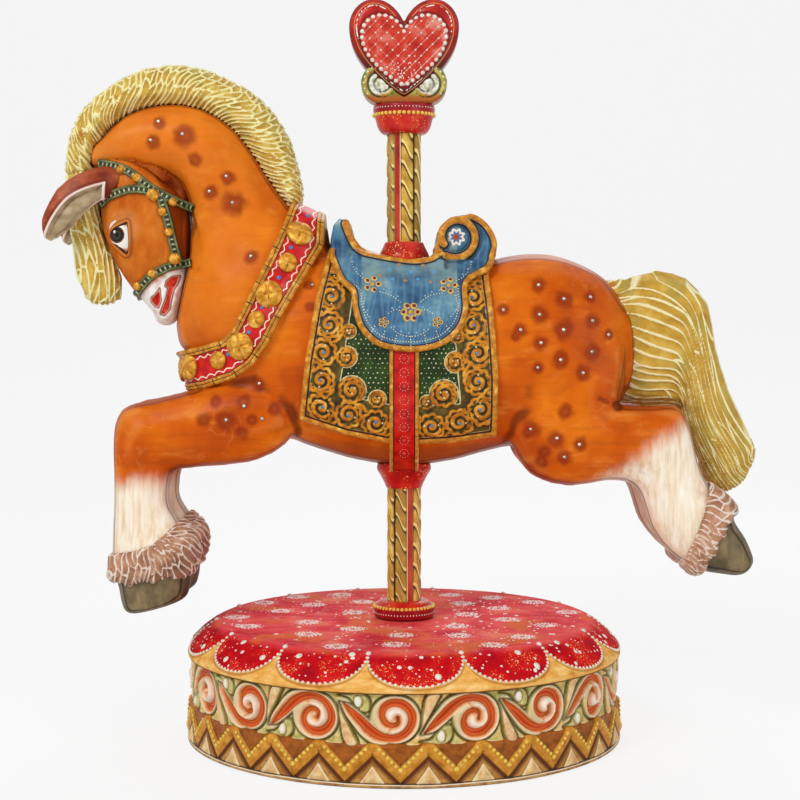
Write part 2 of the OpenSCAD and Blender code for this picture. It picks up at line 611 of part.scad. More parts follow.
// Pins for a tune: each note has three, spread round the drum by the golden angle
module music_cylinder() color("gold") difference() {
    union() {
        along_x(drum_x, 0) cylinder(h = drum_len, r = drum_r);
        for (i = [0 : notes - 1], j = [0 : 2]) translate([comb_x + (i + 0.5) * note_pitch, 0, drum_z])
            rotate([137.5 * (3 * i + j) + 40 * j, 0, 0]) translate([0, 0, drum_r - 0.6]) cylinder(h = pin_h + 0.6, r = 0.22, $fn = 16);
    }
    along_x(drum_x - 1, 0) cylinder(h = drum_len + 2, r = cyl_arbor_r + 0.02);
}
module cylinder_arbor() color("silver") union() {
    along_x(drive_x - drive_face / 2 - 0.6, 0) cylinder(h = outer_x + bracket_t + 0.4 - drive_x + drive_face / 2 + 0.6, r = cyl_arbor_r);
    along_x(drive_x - drive_face / 2, 0) rotate(180 / drive_teeth)
        spur(drive_teeth, pitch / PI, 0.5, -0.95, 0.42, drive_face);
}
module cylinder_wheel() color("gold") difference() {
    along_x(wheel_x, 0) rotate(270 + 180 / wheel_teeth) spur(wheel_teeth, wheel_module, 0.42, -0.62, 0.4, wheel_t);
    along_x(wheel_x - 1, 0) cylinder(h = wheel_t + 2, r = cyl_arbor_r + 0.02);
    for (a = [0 : 72 : 359]) translate([wheel_x - 1, 0, drum_z]) rotate([a, 0, 0]) translate([0, 0, 4.4])
        rotate([0, 90, 0]) cylinder(h = wheel_t + 2, r = 1.5, $fn = 24);
}
module second_arbor() color("gold") union() {
    along_x(cock_x - 0.6, second_y) cylinder(h = worm_wheel_x + worm_wheel_t - cock_x + 0.8, r = second_arbor_r);
    along_x(wheel_x - 0.1, second_y) rotate(90) spur(second_teeth, wheel_module, 0.4, -0.66, 0.4, wheel_t + 0.2);
    along_x(worm_wheel_x, second_y) rotate(270) spur(worm_teeth, worm_module, 0.5, -0.8, 0.36, worm_wheel_t);
}

module governor_arbor() color("silver") union() {
    translate([governor_x, governor_y, governor_z - 0.7]) cylinder(h = governor_top - governor_z + 0.6, r = governor_r, $fn = 32);
    translate([governor_x, governor_y, bed_top + 0.8]) cylinder(h = governor_top + 0.7 - bed_top, r = pivot_r, $fn = 32);
}

// One thread of the worm as a swept trapezoid
worm_lead = worm_starts * PI * worm_module;
worm_core = 1.3;
// Turn that puts a groove of the worm against the wheel's tooth
worm_turn = 90 - 360 * (worm_len / 2 - 0.5 - worm_lead / 4) / worm_lead;
thread_steps = 8;
module thread(start) {
    turns = (worm_len - 1) / worm_lead;
    n = round(turns * thread_steps);
    rim = [[worm_core - 0.2, -0.4], [worm_r + 0.35, -0.2], [worm_r + 0.35, 0.2], [worm_core - 0.2, 0.4]];
    points = [for (i = [0 : n]) let (a = 360 * i / thread_steps + start, z = 0.5 + worm_lead * i / thread_steps)
        each [for (q = rim) [q.x * cos(a), q.x * sin(a), z + q.y]]];
    polyhedron(points, concat(
        [[3, 2, 1, 0]],
        [for (i = [0 : n - 1], k = [0 : 3]) let (a = 4 * i + k, b = 4 * i + (k + 1) % 4) each
            [[a, b, a + 4], [b, b + 4, a + 4]]],
        [[4 * n, 4 * n + 1, 4 * n + 2, 4 * n + 3]]
    ));
}
module governor_worm() color("silver") translate([governor_x, governor_y, drum_z - worm_len / 2]) carved() difference() {
    union() {
        cylinder(h = worm_len, r = worm_core, $fn = 12);
        for (i = [0 : worm_starts - 1]) thread(worm_turn + 360 * i / worm_starts);
    }
    translate([0, 0, -1]) cylinder(h = worm_len + 2, r = governor_r + 0.06, $fn = 12);
}

fan_z = governor_z + 0.2;
fan_h = drum_z - worm_len / 2 - fan_z - 0.4;
module governor_fan() color("gold") difference() {
    translate([governor_x, governor_y, fan_z]) union() {
        cylinder(h = fan_h, r = 1.5, $fn = 32);
        translate([-2.6, -0.3, 0]) cube([5.2, 0.6, fan_h]);
    }
    translate([governor_x, governor_y, fan_z - 1]) cylinder(h = fan_h + 2, r = governor_r + 0.02, $fn = 32);
}

// ---- Pole ----

module bead(r, z, d) translate([0, 0, z]) rotate_extrude() translate([r, 0]) circle(d / 2, $fn = 24);

module base_collar() color("firebrick") difference() {
    union() {
        translate([0, 0, collar_z]) turned(concat(
            [[0, 0], [collar_d / 2 - 0.6, 0], [collar_d / 2, 0.8], [collar_d / 2, 4], [collar_d / 2 - 0.9, 4.6]],
            [for (a = [20 : 20 : 80]) [pole_d / 2 + 0.8 + (collar_d / 2 - 0.9 - pole_d / 2 - 0.8) * cos(a),
                4.6 + (base_collar_h - 4.6) * sin(a)]],
            [[0, base_collar_h]]
        ));
        bead(collar_d / 2 - 0.5, collar_z + 4.6, 1.1);
    }
    translate([0, 0, collar_z - 1]) cylinder(h = 30, r = rod_r + 0.02);
    translate([0, 0, collar_z - EPS]) cylinder(h = base_h + bush_flange_h + lift + washer_t - collar_z + 0.05, r = bush_r + 1.3);
}

// A pole of rope strands with a plain strip between each two
strand_r = pole_d * 0.15;
module pole(z, len) color("goldenrod") translate([0, 0, z]) linear_extrude(len) difference() {
    union() {
        circle(pole_d / 2 - 0.9);
        for (i = [0 : strands - 1]) rotate(360 * (i + 0.5) / strands) translate([pole_d / 2 - strand_r, 0]) circle(strand_r, $fn = 32);
        for (i = [0 : strands - 1]) rotate(360 * i / strands) translate([pole_d / 2 - 1.6, -0.9]) square([1.3, 1.8]);
    }
    circle(rod_r + 0.02);
}
module lower_pole() pole(collar_top, lower_pole_len);
module upper_pole() pole(saddle_cup_top, upper_pole_len);

module belly_cup() color("firebrick") translate([0, 0, horse_z - belly_cup_h]) carved() difference() {
    turned($fn = 30, points = [[0, 0], [pole_d / 2 + 0.3, 0], [pole_d / 2 + 1, 2], [pole_d / 2 + 2.8, belly_cup_h * 0.6],
        [11.2, belly_cup_h - 1.4], [11.2, belly_cup_h + 6], [0, belly_cup_h + 6]]);
    translate([0, 0, belly_cup_h]) torso_form(seat);
    rod_bore(0.1);
}
module saddle_cup() color("orangered") translate([0, 0, horse_z]) carved() difference() {
    translate([0, 0, seat_z - horse_z]) turned($fn = 30, points = [[0, -8], [10.4, -8], [10.4, 1], [10, 2.2], [8.6, saddle_cup_h - 2], [7.8, saddle_cup_h], [0, saddle_cup_h]]);
    torso_form(blanket_t + saddle_t + 3 * seat);
    rod_bore(0.1);
}

module finial_collar() color("firebrick") difference() {
    union() {
        translate([0, 0, upper_top]) turned(concat(
            [[0, 0], [pole_d / 2 + 0.6, 0]],
            [for (a = [15 : 15 : 75]) [pole_d / 2 + 0.6 + (collar_d / 2 - 1.6 - pole_d / 2) * sin(a), (finial_collar_h - 5) * (1 - cos(a))]],
            [[collar_d / 2 - 0.6, finial_collar_h - 5], [collar_d / 2 - 0.6, finial_collar_h - 3.6],
             [collar_d / 2, finial_collar_h - 3.2], [collar_d / 2, finial_collar_h - 0.6],
             [collar_d / 2 - 0.6, finial_collar_h], [0, finial_collar_h]]
        ));
        bead(collar_d / 2 - 0.5, upper_top + finial_collar_h - 4.2, 1.1);
    }
    translate([0, 0, upper_top - 1]) cylinder(h = 40, r = rod_r + 0.02);
}

// Two volutes that lean against each other, with a turn cut round each eye
scroll_t = heart_t * 0.9;
module volute() difference() {
    union() {
        circle(scroll_r);
        translate([-scroll_r - 1.6, -scroll_r]) square([scroll_r, scroll_r * 1.2]);
    }
    difference() { circle(scroll_r * 0.7); translate([1, 0.6]) circle(scroll_r * 0.56); }
}
module finial_scrolls() color("yellowgreen") difference() {
    translate([0, scroll_t / 2, scroll_z]) rotate([90, 0, 0])
        for (s = [0, 1]) mirror([s, 0]) translate([scroll_r + 1.5, scroll_r]) {
            linear_extrude(scroll_t) volute();
            translate([0, 0, 1]) linear_extrude(scroll_t - 2) circle(scroll_r * 0.8);
        }
    translate([0, 0, scroll_z - 1]) cylinder(h = rod_top - scroll_z + 1 + 0.2, r = rod_r + 0.02);
    translate([0, 0, heart_z]) heart_form(seat);
}

// The heart: its outline shrinks towards both faces
function heart_point(a) = let (s = sin(a)) [sign(s) * pow(abs(s), cos(a) > 0 ? 2.6 : 1.5), (13 * cos(a) - 5 * cos(2 * a) - 2 * cos(3 * a) - cos(4 * a) + 17) / 29];
heart_levels = [
    [-0.5, 0.65], [-0.46, 0.7], [-0.43, 0.76], [-0.2, 1], [0.2, 1], [0.43, 0.76], [0.46, 0.7], [0.5, 0.65]
];
heart_steps = 36;
module heart_form(g = 0) {
    n = len(heart_levels);
    points = [for (l = heart_levels, k = [0 : heart_steps - 1]) let (p = heart_point(360 * k / heart_steps))
        [p.x * (heart_w / 2 + g) * l[1], l[0] * (heart_t + 2 * g), heart_h / 2 + (p.y - 0.5) * (heart_h + 2 * g) * l[1]]];
    at = function(i, k) i * heart_steps + k % heart_steps;
    polyhedron(points, concat(
        [[for (k = [0 : heart_steps - 1]) at(0, k)]],
        [for (i = [0 : n - 2], k = [0 : heart_steps - 1]) each
            [[at(i, k), at(i + 1, k), at(i + 1, k + 1)], [at(i, k), at(i + 1, k + 1), at(i, k + 1)]]],
        [[for (k = [heart_steps - 1 : -1 : 0]) at(n - 1, k)]]
    ));
}
module heart() color("crimson") difference() {
    translate([0, 0, heart_z]) heart_form();
    translate([0, 0, heart_z - 1]) cylinder(h = rod_top + 0.2 - heart_z + 1, r = rod_r + 0.02);
}

// ---- Horse ----

module horse_torso() color("darkorange") at_horse() carved() difference() { torso_form(); rod_bore(); }
module horse_neck() color("darkorange") at_horse() carved() difference() { neck_form(); torso_form(seat); }
module horse_head() color("darkorange") at_horse() carved() difference() { head_form(); neck_form(seat); }
module ear_form(g, side) mirror([0, side < 0 ? 1 : 0, 0]) carve(ear_rows, 2, 10, [3, 4], g);
module ear(side) color("sienna") at_horse() carved() difference() { ear_form(0, side); head_form(seat); neck_form(seat); }
module left_ear() ear(-1);
module right_ear() ear(1);
module mane() color("khaki") at_horse() carved() difference() { mane_form(); neck_form(seat); head_form(seat); torso_form(seat); }
module forelock() color("khaki") at_horse() carved() difference() {
    forelock_form(); mane_form(seat); head_form(seat); neck_form(seat);
}
module tail() color("khaki") at_horse() carved() difference() { carve(tail_rows, 2, 10, [2, 3]); torso_form(seat); }

// Legs: side is -1 for the left one and 1 for the right one
module foreleg_form(side, g = 0) carve(foreleg_rows, 2, 10, [8, 1], g, side * foreleg_y * size);
module hindleg_form(side, g = 0) carve(hindleg_rows, 2, 10, [6, 1], g, side * hindleg_y * size);
module hoof_form(rows, y) carve(rows, 1, 10, [1, 1.5], 0, y * size);
module foreleg(side) color("wheat") at_horse() carved() difference() {
    union() { foreleg_form(side); hoof_form(forehoof_rows, side * foreleg_y); }
    torso_form(seat);
}
module hindleg(side) color("wheat") at_horse() carved() difference() {
    union() { hindleg_form(side); hoof_form(hindhoof_rows, side * hindleg_y); }
    torso_form(seat);
}
module left_foreleg() foreleg(-1);
module right_foreleg() foreleg(1);
module left_hindleg() hindleg(-1);
module right_hindleg() hindleg(1);

// ---- Tack ----

// A shell of thickness t that lies at gap g on the torso
module torso_shell(g, t) difference() { torso_form(g + t); torso_form(g); }
blanket_g = seat;
saddle_g = blanket_g + blanket_t + seat;

module saddle_blanket() color("darkgreen") at_horse() carved() difference() {
    intersection() {
        torso_shell(blanket_g, blanket_t);
        across(120) polygon(blanket_outline);
        translate([-100, -60, 8 * size]) cube([200, 120, 200]);
    }
    neck_form(seat);
    for (side = [-1, 1]) hindleg_form(side, seat);
    rod_bore();
}

module saddle() color("steelblue") at_horse() carved() difference() {
    union() {
        intersection() { torso_shell(saddle_g, saddle_t); across(120) polygon(flap_outline); }
        difference() { across(30 * size) polygon(pommel_outline); torso_form(saddle_g); }
    }
    neck_form(seat);
    rod_bore();
}
// The rolled back of the seat: each end has a ring cut round the scroll's eye
cantle_eye = [21.5, 93] * size;
cantle_r = 8.6 * size;
module saddle_cantle() color("steelblue") at_horse() carved() difference() {
    union() {
        across(34 * size) polygon(cantle_outline);
        translate([cantle_eye.x, 0, cantle_eye.y]) rotate([90, 0, 0]) cylinder(h = 34 * size, r = cantle_r, $fn = 24, center = true);
    }
    torso_form(saddle_g + saddle_t + seat);
    both_sides() translate([cantle_eye.x, -17 * size - 1, cantle_eye.y]) rotate([-90, 0, 0])
        difference() { cylinder(h = 2.2, r = cantle_r * 0.78, $fn = 20); cylinder(h = 3, r = cantle_r * 0.5, $fn = 20); }
}

module girth_strap() color("firebrick") at_horse() carved() difference() {
    intersection() {
        torso_shell(blanket_g + blanket_t + seat, strap_t);
        translate([-girth_w / 2, -60, -20]) cube([girth_w, 120, 20 + 48.5 * size]);
    }
    across(120) offset(delta = seat) polygon([for (p = flap_outline) p]);
    translate([0, 0, -20]) cylinder(h = 24, r = 11.2 + seat, $fn = 48);
}

module chest_form(g) { torso_form(g); neck_form(g); }
module breast_collar() color("firebrick") at_horse() carved() difference() {
    intersection() { chest_form(seat + strap_t); across(120) polygon(collar_outline); }
    chest_form(seat);
    mane_form(seat);
    for (side = [-1, 1]) foreleg_form(side, seat);
}

module skull_form(g) { head_form(g); neck_form(g); }
module bridle() color("darkolivegreen") at_horse() carved() difference() {
    intersection() {
        skull_form(seat + strap_t);
        across(80) for (s = [crown_strap, brow_band, cheek_strap, nose_band]) strap(s, bridle_w);
    }
    skull_form(seat);
    mane_form(seat);
    for (side = [-1, 1]) ear_form(seat, side);
    forelock_form(seat);
}

// A rosette: a rim, a fluted disc and a raised eye
module rosette(d) {
    cylinder(h = 1, r1 = d / 2, r2 = d / 2 - 0.4, $fn = 24);
    translate([0, 0, 1 - EPS]) cylinder(h = 0.7, r1 = d * 0.34, r2 = d * 0.26, $fn = 24);
    translate([0, 0, 1.6]) sphere(d * 0.15, $fn = 16);
}
// Places of the rosettes in the side view, their share of the large diameter and their lift off
// the hollow between neck and torso
collar_places = [
    [[-41.5, 94], 1, 0.5], [[-46, 82.5], 0.7, 0.5], [[-53, 70], 1, 1.8], [[-58, 60], 0.65, 0.9],
    [[-64.5, 49.5], 1, 1.6], [[-73.5, 44], 0.65, 1.6]
];
// Where the three rosettes on the front of the chest stand, and the way they face
chest_front = [[-87.3, 0, 40] * size, [-1, 0, 0]];
chest_side = [[-83, -12, 41] * size, [-1, -1, 0] / norm([1, 1])];
module collar_rosettes() color("gold") at_horse() {
    both_sides() for (p = collar_places) stand_on(on_chest(p[0]), seat + strap_t + p[2]) rosette(rosette_d * p[1]);
    both_sides() stand_on(chest_side, seat + strap_t + 1.3) rosette(rosette_d);
    stand_on(chest_front, seat + strap_t + 1.7) rosette(rosette_d);
}

bridle_places = [
    [[-100, 109.5], 1.2], [[-92, 84.5], 1.2], [[-113, 120], 0.9], [[-106.5, 116.5], 0.9], [[-92.5, 107], 0.9],
    [[-96.5, 103], 0.9], [[-94, 95], 0.9], [[-101, 78.5], 0.9], [[-107.5, 73.5], 0.9]
];
module bridle_studs() color("gold") at_horse() both_sides() for (p = bridle_places)
    stand_on(on_skull(p[0]), seat + strap_t + 0.25) rosette(stud_d * 1.7 * p[1]);

// Places of the small studs on rump, neck, chest and legs in the side view
body_places = [
    [53, 73.7], [62.8, 68.2], [73.8, 69], [53, 62], [62.4, 56.1], [74.2, 59.6], [80.8, 54.1], [45.5, 56.1],
    [53.4, 51], [73.8, 47.4], [61.2, 44.3], [52.2, 41.2], [70.2, 39.2], [38.8, 63.9], [49.8, 16.8], [60, 13.5],
    [63, 6], [68.9, 11], [-98, 139], [-101, 131.4], [-88.2, 133.8], [-77.4, 111], [-70.6, 117], [-68.2, 106.5],
    [-60.6, 85.1], [-36.2, 73.8], [-63.2, 26], [-57.4, 34.8], [-56, 21], [-70.2, 20.5]
];
module body_studs() color("silver") at_horse() both_sides() for (p = body_places)
    stand_on(on_body(p), 0.3) cylinder(h = 0.7, r1 = stud_d / 2, r2 = stud_d / 2 - 0.3, $fn = 16);

// ---- What is drawn ----

base_plinth();
base_frieze();
base_top();
felt_ring();
bottom_board();
board_screws();
spindle_bush();
movement_bedplate();
movement_screws();
comb_block();
music_comb();
comb_screws();
inner_bracket();
outer_bracket();
second_cock();
governor_frame();
centre_rod();
great_wheel();
spring_barrel();
mainspring();
thrust_washer();
base_collar();
lower_pole();
belly_cup();
saddle_cup();
upper_pole();
finial_collar();
finial_scrolls();
heart();
horse_torso();
horse_neck();
horse_head();
left_ear();
right_ear();
mane();
forelock();
tail();
left_foreleg();
right_foreleg();
left_hindleg();
right_hindleg();
saddle();
saddle_cantle();
saddle_blanket();
girth_strap();
breast_collar();
bridle();
collar_rosettes();
bridle_studs();
body_studs();
winding_arbor();
winding_key();
music_cylinder();
cylinder_arbor();
cylinder_wheel();
second_arbor();
governor_arbor();
governor_worm();
governor_fan();
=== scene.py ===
"""Looks of the carousel music box: carved relief, paint, beads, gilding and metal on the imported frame.

Lengths are written in millimetres and become metres where a mesh is made.
"""
import math

import bpy
import numpy as np
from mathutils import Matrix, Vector
from mathutils.bvhtree import BVHTree
from mathutils.kdtree import KDTree


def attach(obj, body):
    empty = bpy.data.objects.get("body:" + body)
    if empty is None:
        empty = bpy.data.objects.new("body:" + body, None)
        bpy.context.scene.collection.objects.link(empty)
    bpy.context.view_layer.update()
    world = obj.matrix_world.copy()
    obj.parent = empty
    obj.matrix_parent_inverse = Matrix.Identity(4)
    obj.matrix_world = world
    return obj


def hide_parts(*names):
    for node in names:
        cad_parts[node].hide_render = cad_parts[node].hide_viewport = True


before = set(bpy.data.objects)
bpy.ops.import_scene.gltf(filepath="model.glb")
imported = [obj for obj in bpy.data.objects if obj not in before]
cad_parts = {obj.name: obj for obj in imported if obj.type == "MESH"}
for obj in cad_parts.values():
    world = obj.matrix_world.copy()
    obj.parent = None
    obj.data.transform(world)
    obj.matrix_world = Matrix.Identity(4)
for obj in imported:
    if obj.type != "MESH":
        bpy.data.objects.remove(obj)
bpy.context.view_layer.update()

MM = 0.001
HORSE_Z = 110.1
TURN = 2 * math.pi
random = np.random.default_rng(11)


# ---- Colours and finishes ----

def paint(code):
    """The linear colour of a code such as #c8641e."""
    parts = [int(code[i:i + 2], 16) / 255 for i in (1, 3, 5)]
    return tuple(c / 12.92 if c <= 0.04045 else ((c + 0.055) / 1.055) ** 2.4 for c in parts) + (1.0,)


WHITE = "#f6f2e8"
PLAIN = (1, 1, 1)


class Finish:
    """A material whose node tree is built call by call."""

    def __init__(self, name, roughness=0.4, metallic=0.0, coat=0.0, coat_roughness=0.12, specular=0.16):
        self.material = bpy.data.materials.new(name)
        self.material.use_nodes = True
        self.tree = self.material.node_tree
        self.shader = self.tree.nodes["Principled BSDF"]
        for socket, value in (
            ("Roughness", roughness), ("Metallic", metallic), ("Coat Weight", coat),
            ("Coat Roughness", coat_roughness), ("Specular IOR Level", specular),
        ):
            self.shader.inputs[socket].default_value = value
        self.coords = self.add("TexCoord", out="Object")

    def add(self, kind, *sources, out=0, inputs=None, **settings):
        """Adds a node; a source is a socket, a number, a colour code or the name of a field of the mesh."""
        node = self.tree.nodes.new("ShaderNode" + kind)
        for key, value in settings.items():
            setattr(node, key, value)
        for key, source in [*enumerate(sources), *(inputs or {}).items()]:
            if isinstance(source, str):
                source = paint(source) if source.startswith("#") else self.field(source)
            if isinstance(source, bpy.types.NodeSocket):
                self.tree.links.new(source, node.inputs[key])
            elif source is not None:
                node.inputs[key].default_value = source
        return node.outputs[out]

    def field(self, name):
        """A number kept at each vertex of the mesh."""
        return self.add("Attribute", out="Fac", attribute_name=name)

    def math(self, operation, *values):
        """Works a sum on values, after Blender's name for it."""
        return self.add("Math", *values, operation=operation)

    def mix(self, amount, first, second, share=None):
        """Goes from the first colour to the second where amount is 1, or as far as the share of it."""
        if share is not None:
            amount = self.both(amount, share)
        return self.add("MixRGB", amount, first, second)

    def coats(self, colour, layers):
        """Lays colours over one another; a layer is where it lies, its colour and perhaps its share."""
        for amount, over, *share in layers:
            colour = self.mix(amount, colour, over, *share)
        return colour

    def shaken(self, value, noise, reach):
        """A value made uneven by noise, up to half of reach either way."""
        return self.math("ADD", value, self.both(self.math("SUBTRACT", noise, 0.5), reach))

    def step(self, value, low, high):
        """0 below low and 1 above high, or the other way round where low is the larger."""
        return self.add("MapRange", value, low, high, 0.0, 1.0, interpolation_type="SMOOTHSTEP")

    def band(self, value, middle, half, soft):
        """1 within half of middle, falling to 0 over soft."""
        away = self.math("ABSOLUTE", self.math("SUBTRACT", value, middle))
        return self.step(away, half + soft, half)

    def both(self, first, second):
        """Where both hold, or a value times a number."""
        return self.math("MULTIPLY", first, second)

    def noise(self, size, detail=3.0, rough=0.5, stretch=PLAIN):
        """Noise whose features are about size millimetres across."""
        place = self.add("Mapping", self.coords, inputs={"Scale": stretch})
        return self.add(
            "TexNoise", inputs={"Vector": place, "Scale": 1000 / size, "Detail": detail, "Roughness": rough}
        )

    def cells(self, size):
        """Distance to the nearest of scattered points that lie about size millimetres apart."""
        return self.add("TexVoronoi", inputs={"Vector": self.coords, "Scale": 1000 / size})

    def ramp(self, value, *stops):
        """Colours along a value; a stop is its place and a colour, its code or a grey level."""
        colours = self.add("ValToRGB", value, out="Color")
        line = colours.node.color_ramp.elements
        while len(line) < len(stops):
            line.new(0.5)
        for element, (place, colour) in zip(line, stops):
            element.position = place
            colour = paint(colour) if isinstance(colour, str) else colour
            element.color = colour if isinstance(colour, tuple) else (colour, colour, colour, 1.0)
        return colours

    def tones(self, value, dark, middle, light):
        """Three tones of one paint."""
        return self.ramp(value, (0.3, dark), (0.5, middle), (0.7, light))

    def done(self, colour, height=None, depth=0.1, strength=1.0, rough=None):
        """Joins the colour, a bump of depth millimetres and the roughness to the shader."""
        self.tree.links.new(colour, self.shader.inputs["Base Color"])
        if height is not None:
            bump = self.add("Bump", inputs={"Strength": strength, "Distance": depth * MM, "Height": height})
            self.tree.links.new(bump, self.shader.inputs["Normal"])
        if rough is not None:
            self.tree.links.new(rough, self.shader.inputs["Roughness"])
        return self.material


# ---- Meshes ----

def signed_volume(verts, faces):
    """Six times the volume of a shell of quads, negative where they face inwards."""
    tris = np.concatenate([faces[:, [0, 1, 2]], faces[:, [0, 2, 3]]])
    a, b, c = verts[tris[:, 0]], verts[tris[:, 1]], verts[tris[:, 2]]
    return float(np.einsum("ij,ij->i", a, np.cross(b, c)).sum())


def placed(name, data):
    """A new object in the scene."""
    obj = bpy.data.objects.new(name, data)
    bpy.context.scene.collection.objects.link(obj)
    return obj


def mesh_object(name, verts, faces, fields):
    """An object of a closed shell, its faces turned outwards; fields are numbers kept at each vertex."""
    if signed_volume(verts - verts.mean(0), faces) < 0:
        faces = faces[:, ::-1]
    mesh = bpy.data.meshes.new(name)
    mesh.from_pydata((verts * MM).tolist(), [], faces.tolist())
    mesh.shade_smooth()
    obj = placed(name, mesh)
    add_fields(obj, **fields)
    return obj


def finished(obj, finish, body="carousel", replaced=()):
    """Gives a piece its material, its body and the nodes that it stands for."""
    obj.data.materials.clear()
    obj.data.materials.append(finish)
    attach(obj, body)
    if replaced:
        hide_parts(*replaced)
    return obj


def grid_faces(rows, cols, closed_rows=True):
    """Quads of a grid whose columns run round, and its rows too where they are closed."""
    i = np.arange(rows if closed_rows else rows - 1)[:, None]
    j = np.arange(cols)[None, :]
    k, l = (i + 1) % rows, (j + 1) % cols
    return np.stack([i * cols + j, i * cols + l, k * cols + l, k * cols + j], -1).reshape(-1, 4)


def around(radius, height, start=0.0):
    """Vertices and quads of a closed profile turned round the pole.

    radius and height have a column for each angle.
    """
    rows, sides = radius.shape
    angle = np.arange(sides) * TURN / sides
    verts = np.stack([radius * np.cos(angle), radius * np.sin(angle), height], -1).reshape(-1, 3)
    if start:
        c, s = math.cos(start), math.sin(start)
        verts = verts @ np.array([[c, s, 0], [-s, c, 0], [0, 0, 1]])
    return verts, grid_faces(rows, sides)


def capped(rows):
    """Repeats the first and the last row, for the ends of a turned form."""
    return np.concatenate([rows[:1], rows, rows[-1:]])


def applied(obj):
    """A plain mesh of an object with its modifiers, and the object without them."""
    deps = bpy.context.evaluated_depsgraph_get()
    mesh = bpy.data.meshes.new_from_object(
        obj.evaluated_get(deps), preserve_all_data_layers=True, depsgraph=deps,
    )
    obj.modifiers.clear()
    old = obj.data
    obj.data = mesh
    bpy.data.meshes.remove(old)
    return obj


def points_of(obj):
    """An object's vertices in millimetres."""
    co = np.empty(len(obj.data.vertices) * 3)
    obj.data.vertices.foreach_get("co", co)
    return co.reshape(-1, 3) / MM


def normals_of(obj):
    """Which way the surface faces at each vertex."""
    n = np.empty(len(obj.data.vertices) * 3, np.float32)
    obj.data.vertex_normals.foreach_get("vector", n)
    return n.reshape(-1, 3).astype(float)


def move_points(obj, verts):
    """Puts an object's vertices at new places in millimetres."""
    obj.data.vertices.foreach_set("co", (verts * MM).ravel())
    obj.data.update()


def add_fields(obj, **fields):
    """Keeps numbers at each vertex, for the finishes to read."""
    for key, values in fields.items():
        layer = obj.data.attributes.get(key) or obj.data.attributes.new(key, "FLOAT", "POINT")
        layer.data.foreach_set("value", np.ravel(values).astype(np.float32))


def remeshed(obj, voxel, smoothing):
    """Joins an object's shells into one evenly meshed skin and softens it."""
    mod = obj.modifiers.new("skin", "REMESH")
    mod.mode, mod.voxel_size, mod.use_smooth_shade = "VOXEL", voxel * MM, True
    soft = obj.modifiers.new("soft", "SMOOTH")
    soft.factor, soft.iterations = 0.5, smoothing
    return applied(obj)


def discard(obj):
    """Removes an object that only helped to make another."""
    mesh = obj.data
    bpy.data.objects.remove(obj)
    bpy.data.meshes.remove(mesh)


# ---- Curves and distances in a plane ----

def unit(values):
    """Keeps values between 0 and 1."""
    return np.clip(values, 0, 1)


def spline(points, steps=8):
    """A smooth line through rows of numbers."""
    p = np.asarray(points, float)
    last = len(p) - 1
    t = np.arange(steps)[:, None] / steps
    out = []
    for i in range(last):
        a, b, c, d = p[max(i - 1, 0)], p[i], p[i + 1], p[min(i + 2, last)]
        out.append(
            (
                2 * b + (c - a) * t + (
                    2 * a - 5 * b + 4 * c - d
                ) * t ** 2 + (3 * b - a - 3 * c + d) * t ** 3
            ) / 2
        )
    return np.concatenate([*out, p[-1:]])


def to_path(points, path):
    """For each point, its distance to an open path, the length run along it and its side, left positive."""
    path = np.asarray(path, float)[:, :2]
    a, b = path[:-1], path[1:]
    ab = b - a
    size = np.maximum((ab ** 2).sum(1), 1e-12)
    run = np.concatenate([[0], np.cumsum(np.sqrt(size))])
    best = np.full(len(points), 1e9)
    along, side = np.zeros(len(points)), np.ones(len(points))
    for i in range(len(a)):
        v = points - a[i]
        t = unit(v @ ab[i] / size[i])
        w = v - t[:, None] * ab[i]
        d = np.sqrt((w ** 2).sum(1))
        closer = d < best
        best[closer] = d[closer]
        along[closer] = (run[i] + t * math.sqrt(size[i]))[closer]
        side[closer] = np.sign(ab[i, 0] * v[closer, 1] - ab[i, 1] * v[closer, 0])
    return best, along, side


def inside(points, outline):
    """Whether each point is inside a closed outline."""
    o = np.asarray(outline, float)
    result = np.zeros(len(points), bool)
    x, y = points[:, 0], points[:, 1]
    for a, b in zip(o, np.roll(o, -1, 0)):
        cross = (a[1] > y) != (b[1] > y)
        at = (b[0] - a[0]) * (y - a[1]) / (b[1] - a[1] + 1e-12) + a[0]
        result ^= cross & (x < at)
    return result


def run_of(line):
    """Length run along a line at each of its points."""
    return np.concatenate([[0], np.cumsum(np.linalg.norm(np.diff(line, axis=0), axis=1))])


def at_runs(line, at):
    """Points of a line at some lengths along it."""
    length = run_of(line)
    return np.stack([np.interp(at, length, line[:, 0]), np.interp(at, length, line[:, 1])], -1)


def depth_in(points, outline):
    """Distance from a closed outline, positive inside."""
    o = np.asarray(outline, float)
    d = to_path(points, np.concatenate([o, o[:1]]))[0]
    return np.where(inside(points, outline), d, -d)


# The pattern of cuts repeats after this many, and counts as flat ground this far from a ridge
CELLS, FAR_FROM_RIDGE = 64, 5


def scoops(u, v, wide, long):
    """Distance in millimetres to the nearest ridge between gouge cuts that lie side by side.

    u counts the cuts across and v along; wide and long are the size of one.
    """
    jitter = np.random.default_rng(5).uniform(0.1, 0.9, (CELLS, CELLS, 2))
    column, row = np.floor(u).astype(int), np.floor(v).astype(int)
    first = np.full((3, len(u)), 99.0)
    second = first.copy()
    for a in (-1, 0, 1):
        for b in (-1, 0, 1):
            j = jitter[(column + a) % CELLS, (row + b) % CELLS]
            x, y = column + a + j[:, 0], row + b + j[:, 1]
            here = np.stack([np.hypot(x - u, y - v), x, y])
            nearer = here[0] < first[0]
            second = np.where(nearer, first, np.where(here[0] < second[0], here, second))
            first = np.where(nearer, here, first)
    apart = np.hypot((second[1] - first[1]) / wide, (second[2] - first[2]) / long)
    return np.minimum((second[0] ** 2 - first[0] ** 2) / 2 / np.maximum(apart, 1e-6), FAR_FROM_RIDGE)


